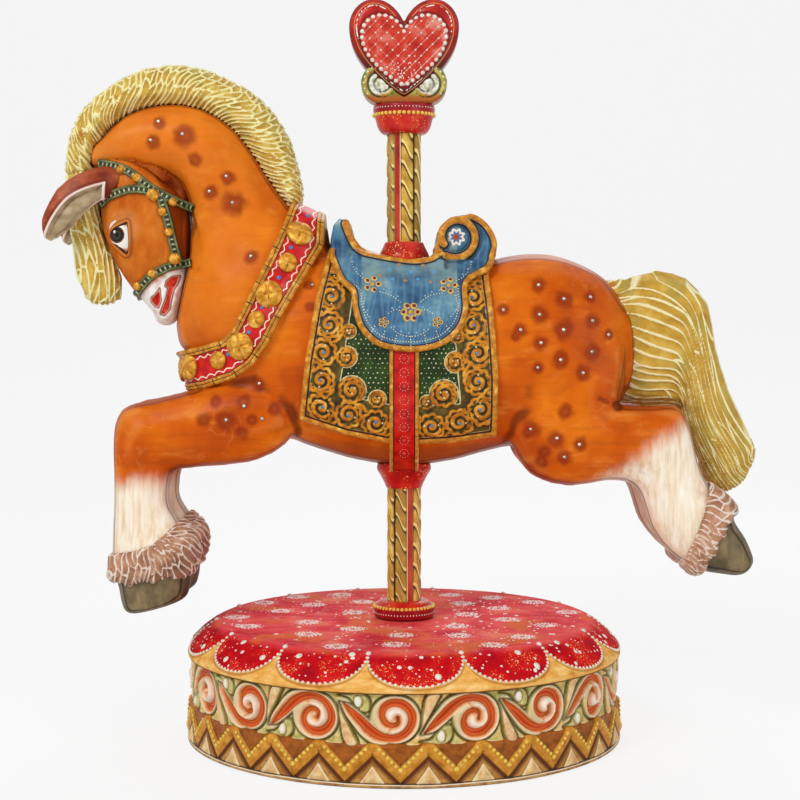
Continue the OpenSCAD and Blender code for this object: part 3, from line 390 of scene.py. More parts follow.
def dome(depth, width):
    """The section of a rounded edge: 0 outside, 1 from width inwards."""
    return np.sqrt(1 - (1 - unit(depth / width)) ** 2)


# ---- Paint dots, beads and studs, one instance tree for all ----

def dots_tree():
    """Geometry nodes that set a shape on every point of a mesh, turned to 'facing' and scaled by 'size'."""
    tree = bpy.data.node_groups.new("set_dots", "GeometryNodeTree")
    face = tree.interface
    face.new_socket("Geometry", in_out="OUTPUT", socket_type="NodeSocketGeometry")
    face.new_socket("Geometry", in_out="INPUT", socket_type="NodeSocketGeometry")
    face.new_socket("Shape", in_out="INPUT", socket_type="NodeSocketObject")
    face.new_socket("Finish", in_out="INPUT", socket_type="NodeSocketMaterial")

    def node(kind, **settings):
        made = tree.nodes.new(kind)
        for key, value in settings.items():
            setattr(made, key, value)
        return made

    def link(a, out, b, into):
        tree.links.new(a.outputs[out], b.inputs[into])

    given, result = node("NodeGroupInput"), node("NodeGroupOutput")
    shape = node("GeometryNodeObjectInfo")
    facing = node("GeometryNodeInputNamedAttribute", data_type="FLOAT_VECTOR")
    facing.inputs["Name"].default_value = "facing"
    size = node("GeometryNodeInputNamedAttribute", data_type="FLOAT_VECTOR")
    size.inputs["Name"].default_value = "size"
    turn = node("FunctionNodeAlignRotationToVector", axis="Z")
    place = node("GeometryNodeInstanceOnPoints")
    real = node("GeometryNodeRealizeInstances")
    dress = node("GeometryNodeSetMaterial")
    link(given, "Shape", shape, "Object")
    link(facing, "Attribute", turn, "Vector")
    link(given, "Geometry", place, "Points")
    link(shape, "Geometry", place, "Instance")
    link(turn, "Rotation", place, "Rotation")
    link(size, "Attribute", place, "Scale")
    link(place, "Instances", real, "Geometry")
    link(real, "Geometry", dress, "Geometry")
    link(given, "Finish", dress, "Material")
    link(dress, "Geometry", result, "Geometry")
    return tree


def lathe_shape(name, profile, sides, cuts=0, depth=0.0):
    """A small closed turned shape on +Z, one unit across, with cuts from its middle to its rim."""
    profile = np.asarray(profile, float)
    angle = np.arange(sides) * TURN / sides
    cut = unit(np.cos(cuts * angle)) ** 6 if cuts else np.zeros(sides)
    verts = [[0, 0, profile[0, 1]]]
    for r, z in profile[1:-1]:
        drop = depth * cut * (z > 0) * (1 + 0.5 * np.sin(3 * angle))
        verts += np.stack([r * np.cos(angle), r * np.sin(angle), z - drop], -1).tolist()
    verts.append([0, 0, profile[-1, 1] - depth])
    rows = len(profile) - 2
    faces = [[0, 1 + (j + 1) % sides, 1 + j] for j in range(sides)]
    faces += (grid_faces(rows, sides, closed_rows=False) + 1).tolist()
    top, start = len(verts) - 1, 1 + (rows - 1) * sides
    faces += [[top, start + j, start + (j + 1) % sides] for j in range(sides)]
    mesh = bpy.data.meshes.new(name)
    mesh.from_pydata(verts, [], faces)
    mesh.shade_smooth()
    return bpy.data.objects.new(name, mesh)


DOME = lathe_shape("dome", [[0, -0.35], [0.5, -0.1], [0.42, 0.25], [0.22, 0.43], [0, 0.5]], 8)
FLAT_DOT = lathe_shape("flat_dot", [[0, -0.5], [0.5, -0.3], [0.36, 0.4], [0, 0.5]], 8)
STUD = lathe_shape(
    "stud", [[0, -0.3], [0.5, -0.3], [0.5, 0.05], [0.4, 0.2], [0.2, 0.28], [0, 0.3]], 24, 3, 0.07,
)
ROSETTE = lathe_shape(
    "rosette",
    [
        [0, -0.15], [0.47, -0.15], [0.5, 0.02], [0.47, 0.09], [0.36, 0.155], [0.22, 0.2], [0.08, 0.225],
        [0, 0.23],
    ],
    48, 4, 0.08,
)
DOTS = dots_tree()


def dots(name, places, facings, sizes, shape, finish, body="carousel", flat=1.0, replaced=()):
    """Sets a shape at each place, facing outwards.

    sizes are widths, and flat is the height's share of them.
    """
    places, facings = np.asarray(places, float), np.asarray(facings, float)
    sizes = np.broadcast_to(np.asarray(sizes, float), (len(places),))
    mesh = bpy.data.meshes.new(name)
    mesh.from_pydata((places * MM).tolist(), [], [])
    scale = np.stack([sizes, sizes, sizes * flat], -1) * MM
    for key, values in (("facing", facings), ("size", scale)):
        mesh.attributes.new(key, "FLOAT_VECTOR", "POINT").data.foreach_set(
            "vector", values.ravel().astype(np.float32),
        )
    obj = placed(name, mesh)
    mod = obj.modifiers.new("dots", "NODES")
    mod.node_group = DOTS
    sockets = {s.name: s.identifier for s in DOTS.interface.items_tree if s.in_out == "INPUT"}
    mod[sockets["Shape"]] = shape
    mod[sockets["Finish"]] = finish
    applied(obj)
    return finished(obj, finish, body, replaced)


# ---- Stage ----

SEEN = ("Is Camera Ray", "Is Glossy Ray", "Is Transmission Ray")

FLOOR_GREY = (0.9, 0.9, 0.9, 1.0)
FLOOR_SIDE, BEND_R, BEND_STEPS = 6000.0, 900.0, 12
# What the surroundings add to the light on the figure, and how bright they look
SKY_LIGHT, SKY_LOOK = 0.42, 1.0
# Lamps: place, what they point at, width and power
LAMPS = {
    "key": ((-700, -1100, 1050), (0, 0, 150), 700, 11.5),
    "fill": ((1000, -900, 500), (0, 0, 140), 900, 4),
    "back": ((200, 900, 900), (0, 0, 170), 800, 3.2),
}
CAMERA_PLACE, CAMERA_DROP = (-1.64, -697, 170), 80 / 1700
SENSOR, LENS, NEAR, FAR = 36.0, 76.5, 0.01, 50


def backdrop():
    """A pale floor that bends up behind, seen as white but still holding the shadow."""
    bend = [[-FLOOR_SIDE, 0], [BEND_R, 0]]
    for a in np.linspace(0.1, 1.57, BEND_STEPS):
        bend.append([BEND_R + BEND_R * math.sin(a), BEND_R - BEND_R * math.cos(a)])
    bend.append([2 * BEND_R, FLOOR_SIDE])
    verts = [[x, y, z] for y, z in bend for x in (-FLOOR_SIDE, FLOOR_SIDE)]
    faces = [[2 * i, 2 * i + 1, 2 * i + 3, 2 * i + 2] for i in range(len(bend) - 1)]
    mesh = bpy.data.meshes.new("floor")
    mesh.from_pydata((np.array(verts) * MM).tolist(), [], faces)
    mesh.shade_smooth()
    floor = placed("floor", mesh)
    finish = Finish("pale_floor", 0.9, specular=0.1)
    finish.shader.inputs["Base Color"].default_value = FLOOR_GREY
    rays = finish.tree.nodes.new("ShaderNodeLightPath")
    seen = rays.outputs[SEEN[0]]
    for kind in SEEN[1:]:
        seen = finish.math("MAXIMUM", seen, rays.outputs[kind])
    white = finish.add("Emission")
    blend = finish.add("MixShader", finish.math("MULTIPLY", seen, 0.8), finish.shader.outputs[0], white)
    finish.tree.links.new(blend, finish.tree.nodes["Material Output"].inputs[0])
    mesh.materials.append(finish.material)


def surroundings():
    """Even light from all round, seen as white."""
    world = bpy.data.worlds.new("studio")
    bpy.context.scene.world = world
    world.use_nodes = True
    sky = world.node_tree
    sky.nodes["Background"].inputs["Color"].default_value = (1, 1, 1, 1)
    rays = sky.nodes.new("ShaderNodeLightPath")
    level = sky.nodes.new("ShaderNodeMapRange")
    level.inputs["To Min"].default_value, level.inputs["To Max"].default_value = SKY_LIGHT, SKY_LOOK
    seen = rays.outputs[SEEN[0]]
    for kind in SEEN[1:]:
        most = sky.nodes.new("ShaderNodeMath")
        most.operation = "MAXIMUM"
        sky.links.new(seen, most.inputs[0])
        sky.links.new(rays.outputs[kind], most.inputs[1])
        seen = most.outputs[0]
    sky.links.new(seen, level.inputs["Value"])
    sky.links.new(level.outputs[0], sky.nodes["Background"].inputs["Strength"])


def lamps_and_camera():
    """Soft round lamps and a level camera a little above the horse."""
    for name, (place, aim, width, power) in LAMPS.items():
        lamp = bpy.data.lights.new(name, "AREA")
        lamp.shape, lamp.size, lamp.energy = "DISK", width * MM, power
        obj = placed(name, lamp)
        obj.location = Vector(place) * MM
        obj.rotation_euler = (Vector(aim) * MM - obj.location).to_track_quat("-Z", "Y").to_euler()

    camera = placed("camera", bpy.data.cameras.new("camera"))
    camera.data.sensor_width, camera.data.lens = SENSOR, LENS
    camera.location = Vector(CAMERA_PLACE) * MM
    camera.rotation_euler = (math.radians(90) - math.atan(CAMERA_DROP), 0, 0)
    camera.data.clip_start, camera.data.clip_end = NEAR, FAR
    bpy.context.scene.camera = camera
    bpy.context.scene.view_settings.view_transform = "Standard"


backdrop()
surroundings()
lamps_and_camera()


# ---- Carved skins ----

# Where looking for a form starts, and about where its side lies if nothing is met
FAR_SIDE, HALF_NECK = 120.0, 18.0


def copied(*nodes):
    """One object that holds copies of the meshes of some nodes."""
    verts, faces, start = [], [], 0
    for name in nodes:
        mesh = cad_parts[name].data
        co = np.empty(len(mesh.vertices) * 3)
        mesh.vertices.foreach_get("co", co)
        verts.append(co.reshape(-1, 3))
        faces += [[v + start for v in p.vertices] for p in mesh.polygons]
        start += len(mesh.vertices)
    mesh = bpy.data.meshes.new("copy")
    mesh.from_pydata(np.concatenate(verts).tolist(), [], faces)
    return placed("copy", mesh)


def skin(name, voxel, smoothing, *nodes):
    """The forms of some nodes as one even mesh."""
    obj = remeshed(copied(*nodes), voxel, smoothing)
    obj.name = obj.data.name = name
    return obj


def horse_xz(verts):
    """Side view of points in the horse's own frame."""
    return np.stack([verts[:, 0], verts[:, 2] - HORSE_Z], -1)


def edges_of(obj):
    """Pairs of vertex numbers."""
    e = np.empty(len(obj.data.edges) * 2, np.int64)
    obj.data.edges.foreach_get("vertices", e)
    return e.reshape(-1, 2)


def spread(edges, values, rounds):
    """Averages numbers kept at the vertices with their neighbours', round after round."""
    values = np.asarray(values, float).copy()
    count = np.bincount(edges.ravel(), minlength=len(values)) + 1.0
    for _ in range(rounds):
        total = values.copy()
        for column in (0, 1):
            total += np.bincount(edges[:, column], values[edges[:, 1 - column]], len(values))
        values = total / count
    return values


def hollowness(obj, rounds=3, scale=1.0):
    """How far each point lies below its neighbours, from -1 on a ridge to 1 in a groove."""
    verts, normals, edges = points_of(obj), normals_of(obj), edges_of(obj)
    mean = np.stack([spread(edges, verts[:, k], rounds) for k in range(3)], -1)
    depth = np.einsum("ij,ij->i", mean - verts, normals)
    return np.clip(spread(edges, depth, 1) / scale, -1, 1)


def bumped(obj, height):
    """Moves each point outwards by height millimetres."""
    verts = points_of(obj)
    move_points(obj, verts + normals_of(obj) * np.asarray(height)[:, None])
    return obj


def groove(distance, width):
    """The section of a cut with soft edges: 1 in the middle and 0 from width on."""
    return unit(1 - (distance / width) ** 2) ** 1.5


def ridge(distance, width, flat=0.4):
    """A raised band: 1 up to the flat share of its width, then down to 0."""
    return unit((1 - distance / width) / (1 - flat)) ** 0.7


def surface_tree(obj):
    """A form that places can be looked up on."""
    deps = bpy.context.evaluated_depsgraph_get()
    return BVHTree.FromObject(obj, deps)


def on_surface(tree, xz, side):
    """Points of a carved form under places of the side view, and the way that it faces there."""
    places, facings = [], []
    for x, z in xz:
        start = Vector((x, side * FAR_SIDE, z + HORSE_Z)) * MM
        hit = tree.ray_cast(start, Vector((0, -side, 0)))
        if hit[0] is None:
            place, normal, _, _ = tree.find_nearest(Vector((x, side * HALF_NECK, z + HORSE_Z)) * MM)
            hit = (place, normal)
        places.append(np.array(hit[0]) / MM)
        facings.append(np.array(hit[1]))
    return np.array(places), np.array(facings)


def both_sides(tree, xz):
    """Places and facings on the left side of a form, then on the right."""
    left, right = on_surface(tree, xz, -1), on_surface(tree, xz, 1)
    return np.concatenate([left[0], right[0]]), np.concatenate([left[1], right[1]])


# ---- Horse ----

BODY_NODES = (
    "horse_torso", "horse_neck", "left_foreleg", "right_foreleg", "left_hindleg", "right_hindleg",
)
# Dapples in the side view: middle and radius
DAPPLES = [
    (53, 73.6, 3.5), (62.8, 68.1, 3.9), (73.8, 68.9, 2.7), (53, 61.9, 3.9), (62.4, 56, 4.7),
    (74.2, 59.5, 3.5), (80.8, 54, 2.4), (45.5, 56, 3.1), (53.4, 50.9, 3.1), (73.8, 47.3, 3.9),
    (61.2, 44.2, 3.9), (52.2, 41.1, 2.7), (70.2, 39.1, 3.5), (63.2, 23.8, 3.5), (49.8, 16.7, 3.9),
    (59.6, 12.8, 3.9), (69.1, 11.2, 3.1), (55.3, 8.1, 3.1), (63.2, 5.8, 3.1), (38.8, 63.8, 2.7),
    (43.6, 53.2, 2.4), (54.1, 4.0, 2.8), (-97.4, 138.2, 2.8), (-87.5, 133.1, 4.8), (-100.2, 130.7, 3.2),
    (-70, 116.4, 3.2), (-76.7, 110.4, 3.2), (-67.6, 106, 5.2), (-60.4, 85, 3.2), (-36, 83, 2.4),
    (-37.4, 73.8, 2.4), (-37, 65.1, 2.4), (-82.7, 123.5, 3.4), (-57.5, 34.7, 3.2), (-63.5, 27.6, 3.2),
    (-51.6, 24.8, 3.2), (-70.5, 20.5, 4.7), (-59.9, 20.5, 2.8), (-79, 20.5, 3.4), (-64.2, 15.4, 3.2),
    (-74.5, 27.4, 2.8),
]
# Lines where the carver's gouge ran: side view, half width and depth
CREASES = [
    ([(77, 29), (82.5, 27), (85, 25.5)], 2.6, 0.6),
    ([(47, 8), (45.5, 20), (50, 33), (58, 44)], 5.0, 0.55),
    ([(-47, 8), (-43.5, 18), (-46, 30)], 5.0, 0.45),
    ([(-83, 31), (-72, 33), (-60, 37)], 3.5, 0.5),
    ([(-88, 104), (-83, 92), (-83, 80)], 3.0, 0.8),
]


def horse_coat(name, pale=None, over=None):
    """Orange stain over wood with dapples and a dark line near the edges; painted shade towards the edges,
    under the belly and in hollows, and painted highlight on ridges.

    It turns cream below the knee where the field pale is given, and over adds its own paint last.
    """
    f = Finish(name, 0.45, coat=0.02, coat_roughness=0.3, specular=0.09)
    base = f.ramp(
        f.noise(30, 3.0, 0.55), (0.28, "#b04405"), (0.46, "#cf5a06"), (0.6, "#df700c"), (0.75, "#f08c1c"),
    )
    grain = f.noise(2.6, 4.0, 0.65, (0.10, 0.5, 1.0))
    base = f.coats(base, [
        (f.step(grain, 0.52, 0.34), "#9c3f0d", 0.25),
        (f.step(f.noise(8, 3.0, 0.6, (0.35, 1, 1)), 0.55, 0.8), "#ef9a3c", 0.5),
    ])
    stroke = f.band(f.noise(17, 2.0, 0.4), 0.5, 0.002, 0.008)
    base = f.coats(base, [
        (f.both(f.both(stroke, 0.12), f.step(f.noise(6), 0.45, 0.6)), "#f3b46c"),
        ("fore", f.mix(f.noise(12), "#e0700f", "#f89c34"), 0.5),
    ])
    wobble = f.shaken("dapple", f.noise(4.0), 0.9)
    base = f.coats(base, [
        (f.step(wobble, 1.3, 0.5), "#8c2806", 0.8),
        (f.step(wobble, 0.45, 0.1), "#b0602e", 0.35),
    ])
    if pale:
        fade = f.shaken(f.field(pale), f.noise(5, 3.0, 0.6, (1, 1, 0.25)), 0.5)
        streak = f.noise(2.2, 3.0, 0.6, (1, 1, 0.12))
        cream = f.ramp(streak, (0.3, "#e6c9a6"), (0.5, "#f8e8cf"), (0.68, "#fff8ea"))
        cream = f.mix(f.step(f.noise(16), 0.55, 0.75), cream, "#d9b9a0")
        base = f.mix(f.step(fade, 0.25, 0.85), base, cream)
    # Painted shade: faces that turn away from the side go darker towards the edges
    base = f.mix(f.step("turned", 0.6, 0.12), base, "#7a2a0a", 0.55)
    # Painted shade on the downward faces of the belly
    under = f.both(f.step("facing_down", 0.55, 0.9), f.step("belly", 0.1, 0.9))
    base = f.mix(under, base, "#7c4a26", 0.55)
    line = f.band(f.shaken("turned", f.noise(9), 0.10), 0.40, 0.015, 0.05)
    base = f.mix(line, base, "#4d1c0a", 0.55)
    # Painted shade in the hollows and painted highlight on the ridges
    base = f.coats(base, [
        (f.step("hollow", 0.15, 0.9), "#571d0a", 0.7),
        (f.step("hollow", -0.35, -1.0), "#f0a050", 0.35),
    ])
    long_way = f.add("Mapping", f.coords, inputs={"Scale": (0.45, 1, 1)})
    cuts = f.add("TexVoronoi", inputs={"Vector": long_way, "Scale": 150.0}, feature="SMOOTH_F1")
    height = f.math("ADD", f.both(cuts, 0.9), f.both(grain, 0.35))
    if over:
        base = over(f, base)
    return f.done(base, height, 0.22, 0.5, f.ramp(grain, (0.3, 0.30), (0.7, 0.44)))


def coat_fields(obj, hollow_scale=0.25, rounds=6):
    """Numbers that the coat's finish reads: dapples, how far a face turns to the side, and hollows."""
    verts, edges = points_of(obj), edges_of(obj)
    xz = horse_xz(verts)
    dapple = np.full(len(verts), 3.0)
    for x, z, r in DAPPLES:
        dapple = np.minimum(dapple, np.hypot(xz[:, 0] - x, xz[:, 1] - z) / r)
    turned = spread(edges, np.abs(normals_of(obj)[:, 1]), 6)
    add_fields(
        obj, fore=unit((-42 - xz[:, 0]) / 22) * unit((xz[:, 1] - 38) / 22), dapple=dapple, turned=turned,
        hollow=hollowness(obj, rounds, hollow_scale), facing_down=-normals_of(obj)[:, 2],
        belly=unit((14 - xz[:, 1]) / 6) * unit((48 - np.abs(xz[:, 0])) / 8),
    )
    return xz


horse = skin("horse_body", 1.15, 22, *BODY_NODES)
xz = horse_xz(points_of(horse))
relief = np.zeros(len(xz))
for line, width, depth in CREASES:
    relief -= depth * groove(to_path(xz, spline(line))[0], width)
# Muscles: side view middle, radii and height
for x, z, rx, rz, h in [
    (66, 46, 20, 26, 1.3), (-66, 22, 20, 11, 1.0), (-64, 60, 16, 22, 0.8), (-108, 15, 8, 12, 0.8),
    (96, 9, 12, 10, 0.8), (30, 30, 18, 22, 0.5), (-84, 120, 14, 12, 0.7), (-106, -8, 5, 16, 0.5),
]:
    relief += h * unit(1 - ((xz[:, 0] - x) / rx) ** 2 - ((xz[:, 1] - z) / rz) ** 2)
bumped(horse, relief)
xz = coat_fields(horse)
fore = unit((4 - xz[:, 1]) / 16) * (xz[:, 0] < -78)
hind = unit(
    ((xz[:, 0] - 99) * 0.56 - (xz[:, 1] - 2) * 0.83 + 16.5) / 18
) * (xz[:, 0] > 66) * (xz[:, 1] < 40)
add_fields(horse, shank=np.maximum(fore, hind))
finished(horse, horse_coat("orange_coat", "shank"), replaced=BODY_NODES)
horse_surface = surface_tree(horse)


# ---- Head ----

EYE = np.array([-113.9, 93.6])
EYE_LINE = spline(
    [
        (-110.5, 98.7), (-113.3, 97.6), (-116.1, 96.2), (-117.6, 94.2), (-117.2, 92.2), (-115.7, 90.4),
        (-113.7, 88.6), (-111.3, 86.6), (-110.7, 87.8), (-110.2, 91.8), (-110.5, 98.7),
    ],
    4,
)
NOSTRIL = [
    (-98.4, 72.6), (-98.0, 67.9), (-99, 65.1), (-100.4, 65.3), (-102, 67.0), (-101.9, 68.9), (-100.1, 70),
]
MOUTH = [
    (-90.6, 77.7), (-93.4, 77.3), (-95.5, 75.6), (-96.1, 73.5), (-94.9, 73.0), (-95.8, 68.7), (-97.6, 64.7),
    (-98.4, 62.5), (-96.9, 61.9), (-94.9, 64.3), (-94.1, 67.9), (-93.1, 71.9), (-91.6, 74.7),
]
MUZZLE_EDGE = [
    (-130, 62), (-110, 66.5), (-104, 72.5), (-95, 79.2), (-86, 82), (-70, 84), (-70, 40), (-130, 40),
]
CROWN_STRAP = [(-123.5, 123), (-111.5, 120), (-101.5, 113), (-93.5, 108.5), (-84.5, 104.5)]
CROWN = spline(CROWN_STRAP)

head = skin("head", 0.7, 14, "horse_head")
xz = horse_xz(points_of(head))
on_side = unit(np.abs(normals_of(head)[:, 1]) * 1.8)
eye_depth, nostril, mouth = (depth_in(xz, line) for line in (EYE_LINE, NOSTRIL, MOUTH))
distance, _, side = to_path(xz, CROWN)
above = unit((distance * side - 2.2) / 6)
behind = unit((xz[:, 0] + 91.5 + (xz[:, 1] - 88) * 0.24) / 3) * (xz[:, 1] > 82)
relief = 0.9 * np.exp(-((eye_depth + 1.1) / 0.7) ** 2) - 1.3 * unit(eye_depth / 0.7)
relief -= 0.7 * groove(to_path(xz, spline([(-118.5, 97), (-114.5, 100.6), (-109.5, 101)]))[0], 1.3)
relief -= 1.0 * unit(nostril / 1.0) + 0.8 * unit(mouth / 0.9) - 0.5 * np.exp(-((mouth + 1.2) / 0.8) ** 2)
relief -= 0.5 * groove(to_path(xz, spline([(-99, 84), (-97, 77), (-99.5, 73.5)]))[0], 2.0)
bumped(head, (relief - 4.0 * above - 1.2 * behind) * on_side ** 2)
xz = coat_fields(head, 0.22, 5)
add_fields(
    head, muzzle=depth_in(xz, MUZZLE_EDGE), mouth=mouth * on_side - (on_side < 0.3),
    nostril=nostril * on_side - (on_side < 0.3), eye=eye_depth, behind=behind,
    brow=np.hypot(xz[:, 0] + 112, xz[:, 1] - 97),
)


def face_paint(f, coat):
    """Over the coat: a pale muzzle, red nostril and mouth, dark lids, and painted shade where the cheek
    sinks behind the strap.
    """
    noise, brush = f.noise(3.0, 3.0), f.noise(7, 3.0, 0.6, (1, 1, 0.5))
    warm = f.tones(brush, "#a8480f", "#c4641a", "#d98332")
    colour = f.mix(0.75, coat, warm)
    colour = f.coats(colour, [
        (f.step("brow", 9, 4), "#eaa45e", 0.35),
        # Painted shade where the head sinks back behind the cheek strap
        ("behind", f.mix(brush, "#6d220a", "#a8420f"), 0.85),
    ])
    pale = f.ramp(noise, (0.3, "#dcbfb2"), (0.48, "#f3e8e0"), (0.62, "#fbf6ef"))
    edge = f.shaken("muzzle", noise, 2.0)
    colour = f.mix(f.step(edge, -0.6, 0.9), colour, pale)
    red = f.mix(f.step(noise, 0.35, 0.65), "#b3120f", "#e2503a")
    for name in ("mouth", "nostril"):
        colour = f.coats(colour, [
            (f.band(f.field(name), -0.25, 0.12, 0.25), "#8c6a55"),
            (f.step(f.field(name), -0.1, 0.25), red),
        ])
    colour = f.mix(f.band("eye", -1.6, 0.1, 0.7), colour, "#7a2f10", 0.55)
    return f.mix(f.band("eye", -0.05, 0.2, 0.3), colour, "#3a1a0c")


finished(head, horse_coat("face_coat", over=face_paint), replaced=("horse_head",))
head_surface = surface_tree(head)


def eye_ball(side):
    """A domed eyeball set in its socket, the iris towards the front of the head."""
    (place,), (out,) = on_surface(head_surface, [EYE], side)
    arc = np.linspace(0, math.pi, 25)
    ball = lathe_shape(
        "eye_left" if side < 0 else "eye_right", np.stack([0.5 * np.sin(arc), -0.5 * np.cos(arc)], -1), 40,
    )
    bpy.context.scene.collection.objects.link(ball)
    lean = math.radians(106)
    long_way = np.array([math.cos(lean), 0, math.sin(lean)])
    long_way -= out * (long_way @ out)
    long_way /= np.linalg.norm(long_way)
    axes = np.array([long_way * 13.4, np.cross(out, long_way) * 10, out * 3.2])
    shape = points_of(ball) * MM @ axes + place - out * 0.35
    move_points(ball, shape)
    flat = horse_xz(shape)
    add_fields(
        ball, pupil=np.hypot(flat[:, 0] + 115.1, flat[:, 1] - 94.0), tip=flat[:, 1] - 88.5,
        glint=np.hypot(flat[:, 0] + 116.0, flat[:, 1] - 95.2),
    )
    return ball


def eye_paint():
    """White of the eye with a brown iris, a black pupil and a glint."""
    f = Finish("eye_paint", 0.2, coat=0.12)
    colour = f.mix(f.step("tip", 0.8, -0.6), "#f7f3ea", "#d9a08a")
    pupil = f.field("pupil")
    colour = f.coats(colour, [
        (f.step(pupil, 3.45, 3.2), "#6b3a1a"),
        (f.step(pupil, 2.9, 2.6), "#0b0705"),
        # The grey ring inside the pupil is a painted highlight
        (f.band(pupil, 1.5, 0.2, 0.5), "#6a5a4a", 0.3),
    ])
    return f.done(f.mix(f.step("glint", 0.7, 0.45), colour, WHITE))


EYE_PAINT = eye_paint()
for side in (-1, 1):
    finished(eye_ball(side), EYE_PAINT)

# ---- Ears ----

EAR_OPENING = spline(
    [
        (-119.0, 114.6), (-121.8, 101.5), (-131.5, 92), (-144, 86.7), (-141.4, 97.1), (-134.8, 106.7),
        (-128, 111.4), (-119.0, 114.6),
    ],
    5,
)


def ear_finish():
    """Red-brown outside, straw inside, with a pale edge to the opening."""
    f = Finish("ear_paint", 0.42, coat=0.036)
    brush = f.noise(7, 3.0, 0.6, (0.6, 1, 1))
    base = f.ramp(brush, (0.3, "#75260f"), (0.48, "#97401f"), (0.62, "#b25a3a"), (0.78, "#c98a70"))
    inner = f.tones(f.noise(4, 3.0, 0.6, (0.4, 1, 1)), "#84704f", "#a5916e", "#c0ad8b")
    opening = f.field("opening")
    base = f.coats(base, [
        (f.step(opening, 0.35, 0.75), inner),
        (f.band(opening, 0.15, 0.3, 0.25), "#f0dcd0"),
        (f.band(opening, -1.0, 0.2, 0.6), "#5e1e10", 0.6),
        # Painted shade in the hollows
        (f.step("hollow", 0.3, 0.9), "#4a1d10", 0.7),
    ])
    return f.done(base, f.noise(1.5), 0.12, 0.5)


EAR_PAINT = ear_finish()
for name in ("left_ear", "right_ear"):
    ear = skin(name + "_skin", 0.5, 10, name)
    opening = depth_in(horse_xz(points_of(ear)), EAR_OPENING)
    side = unit(np.abs(normals_of(ear)[:, 1]) * 2)
    bumped(ear, (0.35 * np.exp(-(opening / 0.6) ** 2) - 1.5 * unit((opening - 0.3) / 1.6)) * side)
    add_fields(ear, opening=opening * side - (side < 0.35), hollow=hollowness(ear, 5, 0.2))
    finished(ear, EAR_PAINT, replaced=(name,))

# ---- Mane, forelock and tail ----


def hair_finish(name, deep, mid, light, pale, width):
    """Straw paint: gold hollows, pale ridges between the cuts, a few orange and olive touches, and painted
    shade in the deepest hollows.
    """
    f = Finish(name, 0.55, coat=0.015)
    brush = f.noise(6, 4.0, 0.6)
    base = f.tones(brush, deep, mid, light)
    base = f.mix(f.step(f.noise(14), 0.5, 0.68), base, "#a39a4c", 0.6)
    spots = f.both(f.step(f.cells(9), 0.24, 0.14), f.step(f.noise(30), 0.45, 0.55))
    base = f.coats(base, [
        (spots, "#b8741f", 0.8),
        # Painted shade in the deepest hollows
        (f.step("hollow", 0.2, 1.0), "#7f6a2a", 0.55),
    ])
    ridge_ = f.shaken("ridge", f.noise(4), 0.5)
    base = f.mix(f.step(ridge_, width * 2, width), base, pale)
    return f.done(base, f.noise(1.6, 3.0), 0.12, 0.5)


STRAW = hair_finish("straw_paint", "#b88c30", "#d2ab4a", "#e2c76c", "#f4ecae", 0.26)
TAIL_STRAW = hair_finish("tail_paint", "#b2882c", "#c99f3c", "#d8b658", "#f2e8b4", 0.2)


def hair(name, node, cells, depth, finish, voxel=0.5, fuller=0.0):
    """Hair carved with a gouge, its underside made fuller.

    cells tells how many cuts across and along each point lies.
    """
    obj = skin(name, voxel, 6, node)
    verts = points_of(obj)
    across, along, wide, long = cells(horse_xz(verts), verts[:, 1])
    ridge_ = scoops(*(spread(edges_of(obj), c, 14) for c in (across, along)), wide, long)
    under = unit(-normals_of(obj) @ [0.9, 0, 0.45])
    bumped(obj, depth * (0.75 - dome(ridge_, 1.3)) + fuller * under)
    add_fields(obj, ridge=ridge_, hollow=hollowness(obj, 3, 0.16))
    finished(obj, finish, replaced=(node,))


MANE_LINE = spline(
    [
        (-131, 120), (-126, 140), (-115, 149), (-103, 153.5), (-88, 154), (-73, 148), (-60, 138),
        (-51, 124), (-44, 108),
    ],
    12,
)
FORELOCK_LINE = spline(
    [(-131, 121), (-130.8, 109), (-129, 97), (-126.5, 86.5), (-124, 76), (-122.5, 66)], 12,
)
# Outer, middle and inner run of the tail's strands
TAIL_LINES = (
    [(84.7, 74.0), (92.3, 77.7), (101.2, 79.0), (109.2, 77.7), (116.5, 74.0), (120.9, 69.3), (122.9, 61.9),
     (125.3, 49.1), (128.7, 35.7), (134.1, 24.4), (139.4, 14.4), (142.1, 8.3), (141.8, 3.5)],
    [(89.7, 57.2), (102.4, 57.9), (111.2, 55.2), (113.9, 50.6), (116.5, 40.6), (120.0, 27.0), (123.3, 16.9),
     (128.0, 6.8), (132.6, -3.3)],
    [(89.1, 26.3), (99.1, 25.0), (108.5, 26.0), (112.4, 23.6), (115.3, 18.4), (117.3, 11.5), (119.3, 3.5),
     (122.5, -3.8), (126.0, -7.6)],
)


def mane_cells(xz, y):
    """Cuts across the crest, leaning more at both ends."""
    distance, run, side = to_path(xz, MANE_LINE)
    off = distance * side
    lean = np.interp(run, [0, 70, run.max()], [1.2, 0.6, 1.2])
    return (run - lean * off + 1.2 * np.sin(off / 3 + run / 9) + 0.3 * y) / 2.4, off / 8 + y / 9, 2.4, 8


def forelock_cells(xz, y):
    """Cuts that hang down along the forelock."""
    distance, run, side = to_path(xz, FORELOCK_LINE)
    return (distance * side + 0.8 * np.sin(run / 7) + 0.5 * y) / 2.4, run / 13, 2.4, 13


# Points that the blended lines are sampled at, along and across the tail
TAIL_STEPS, TAIL_LANES = 400, 160


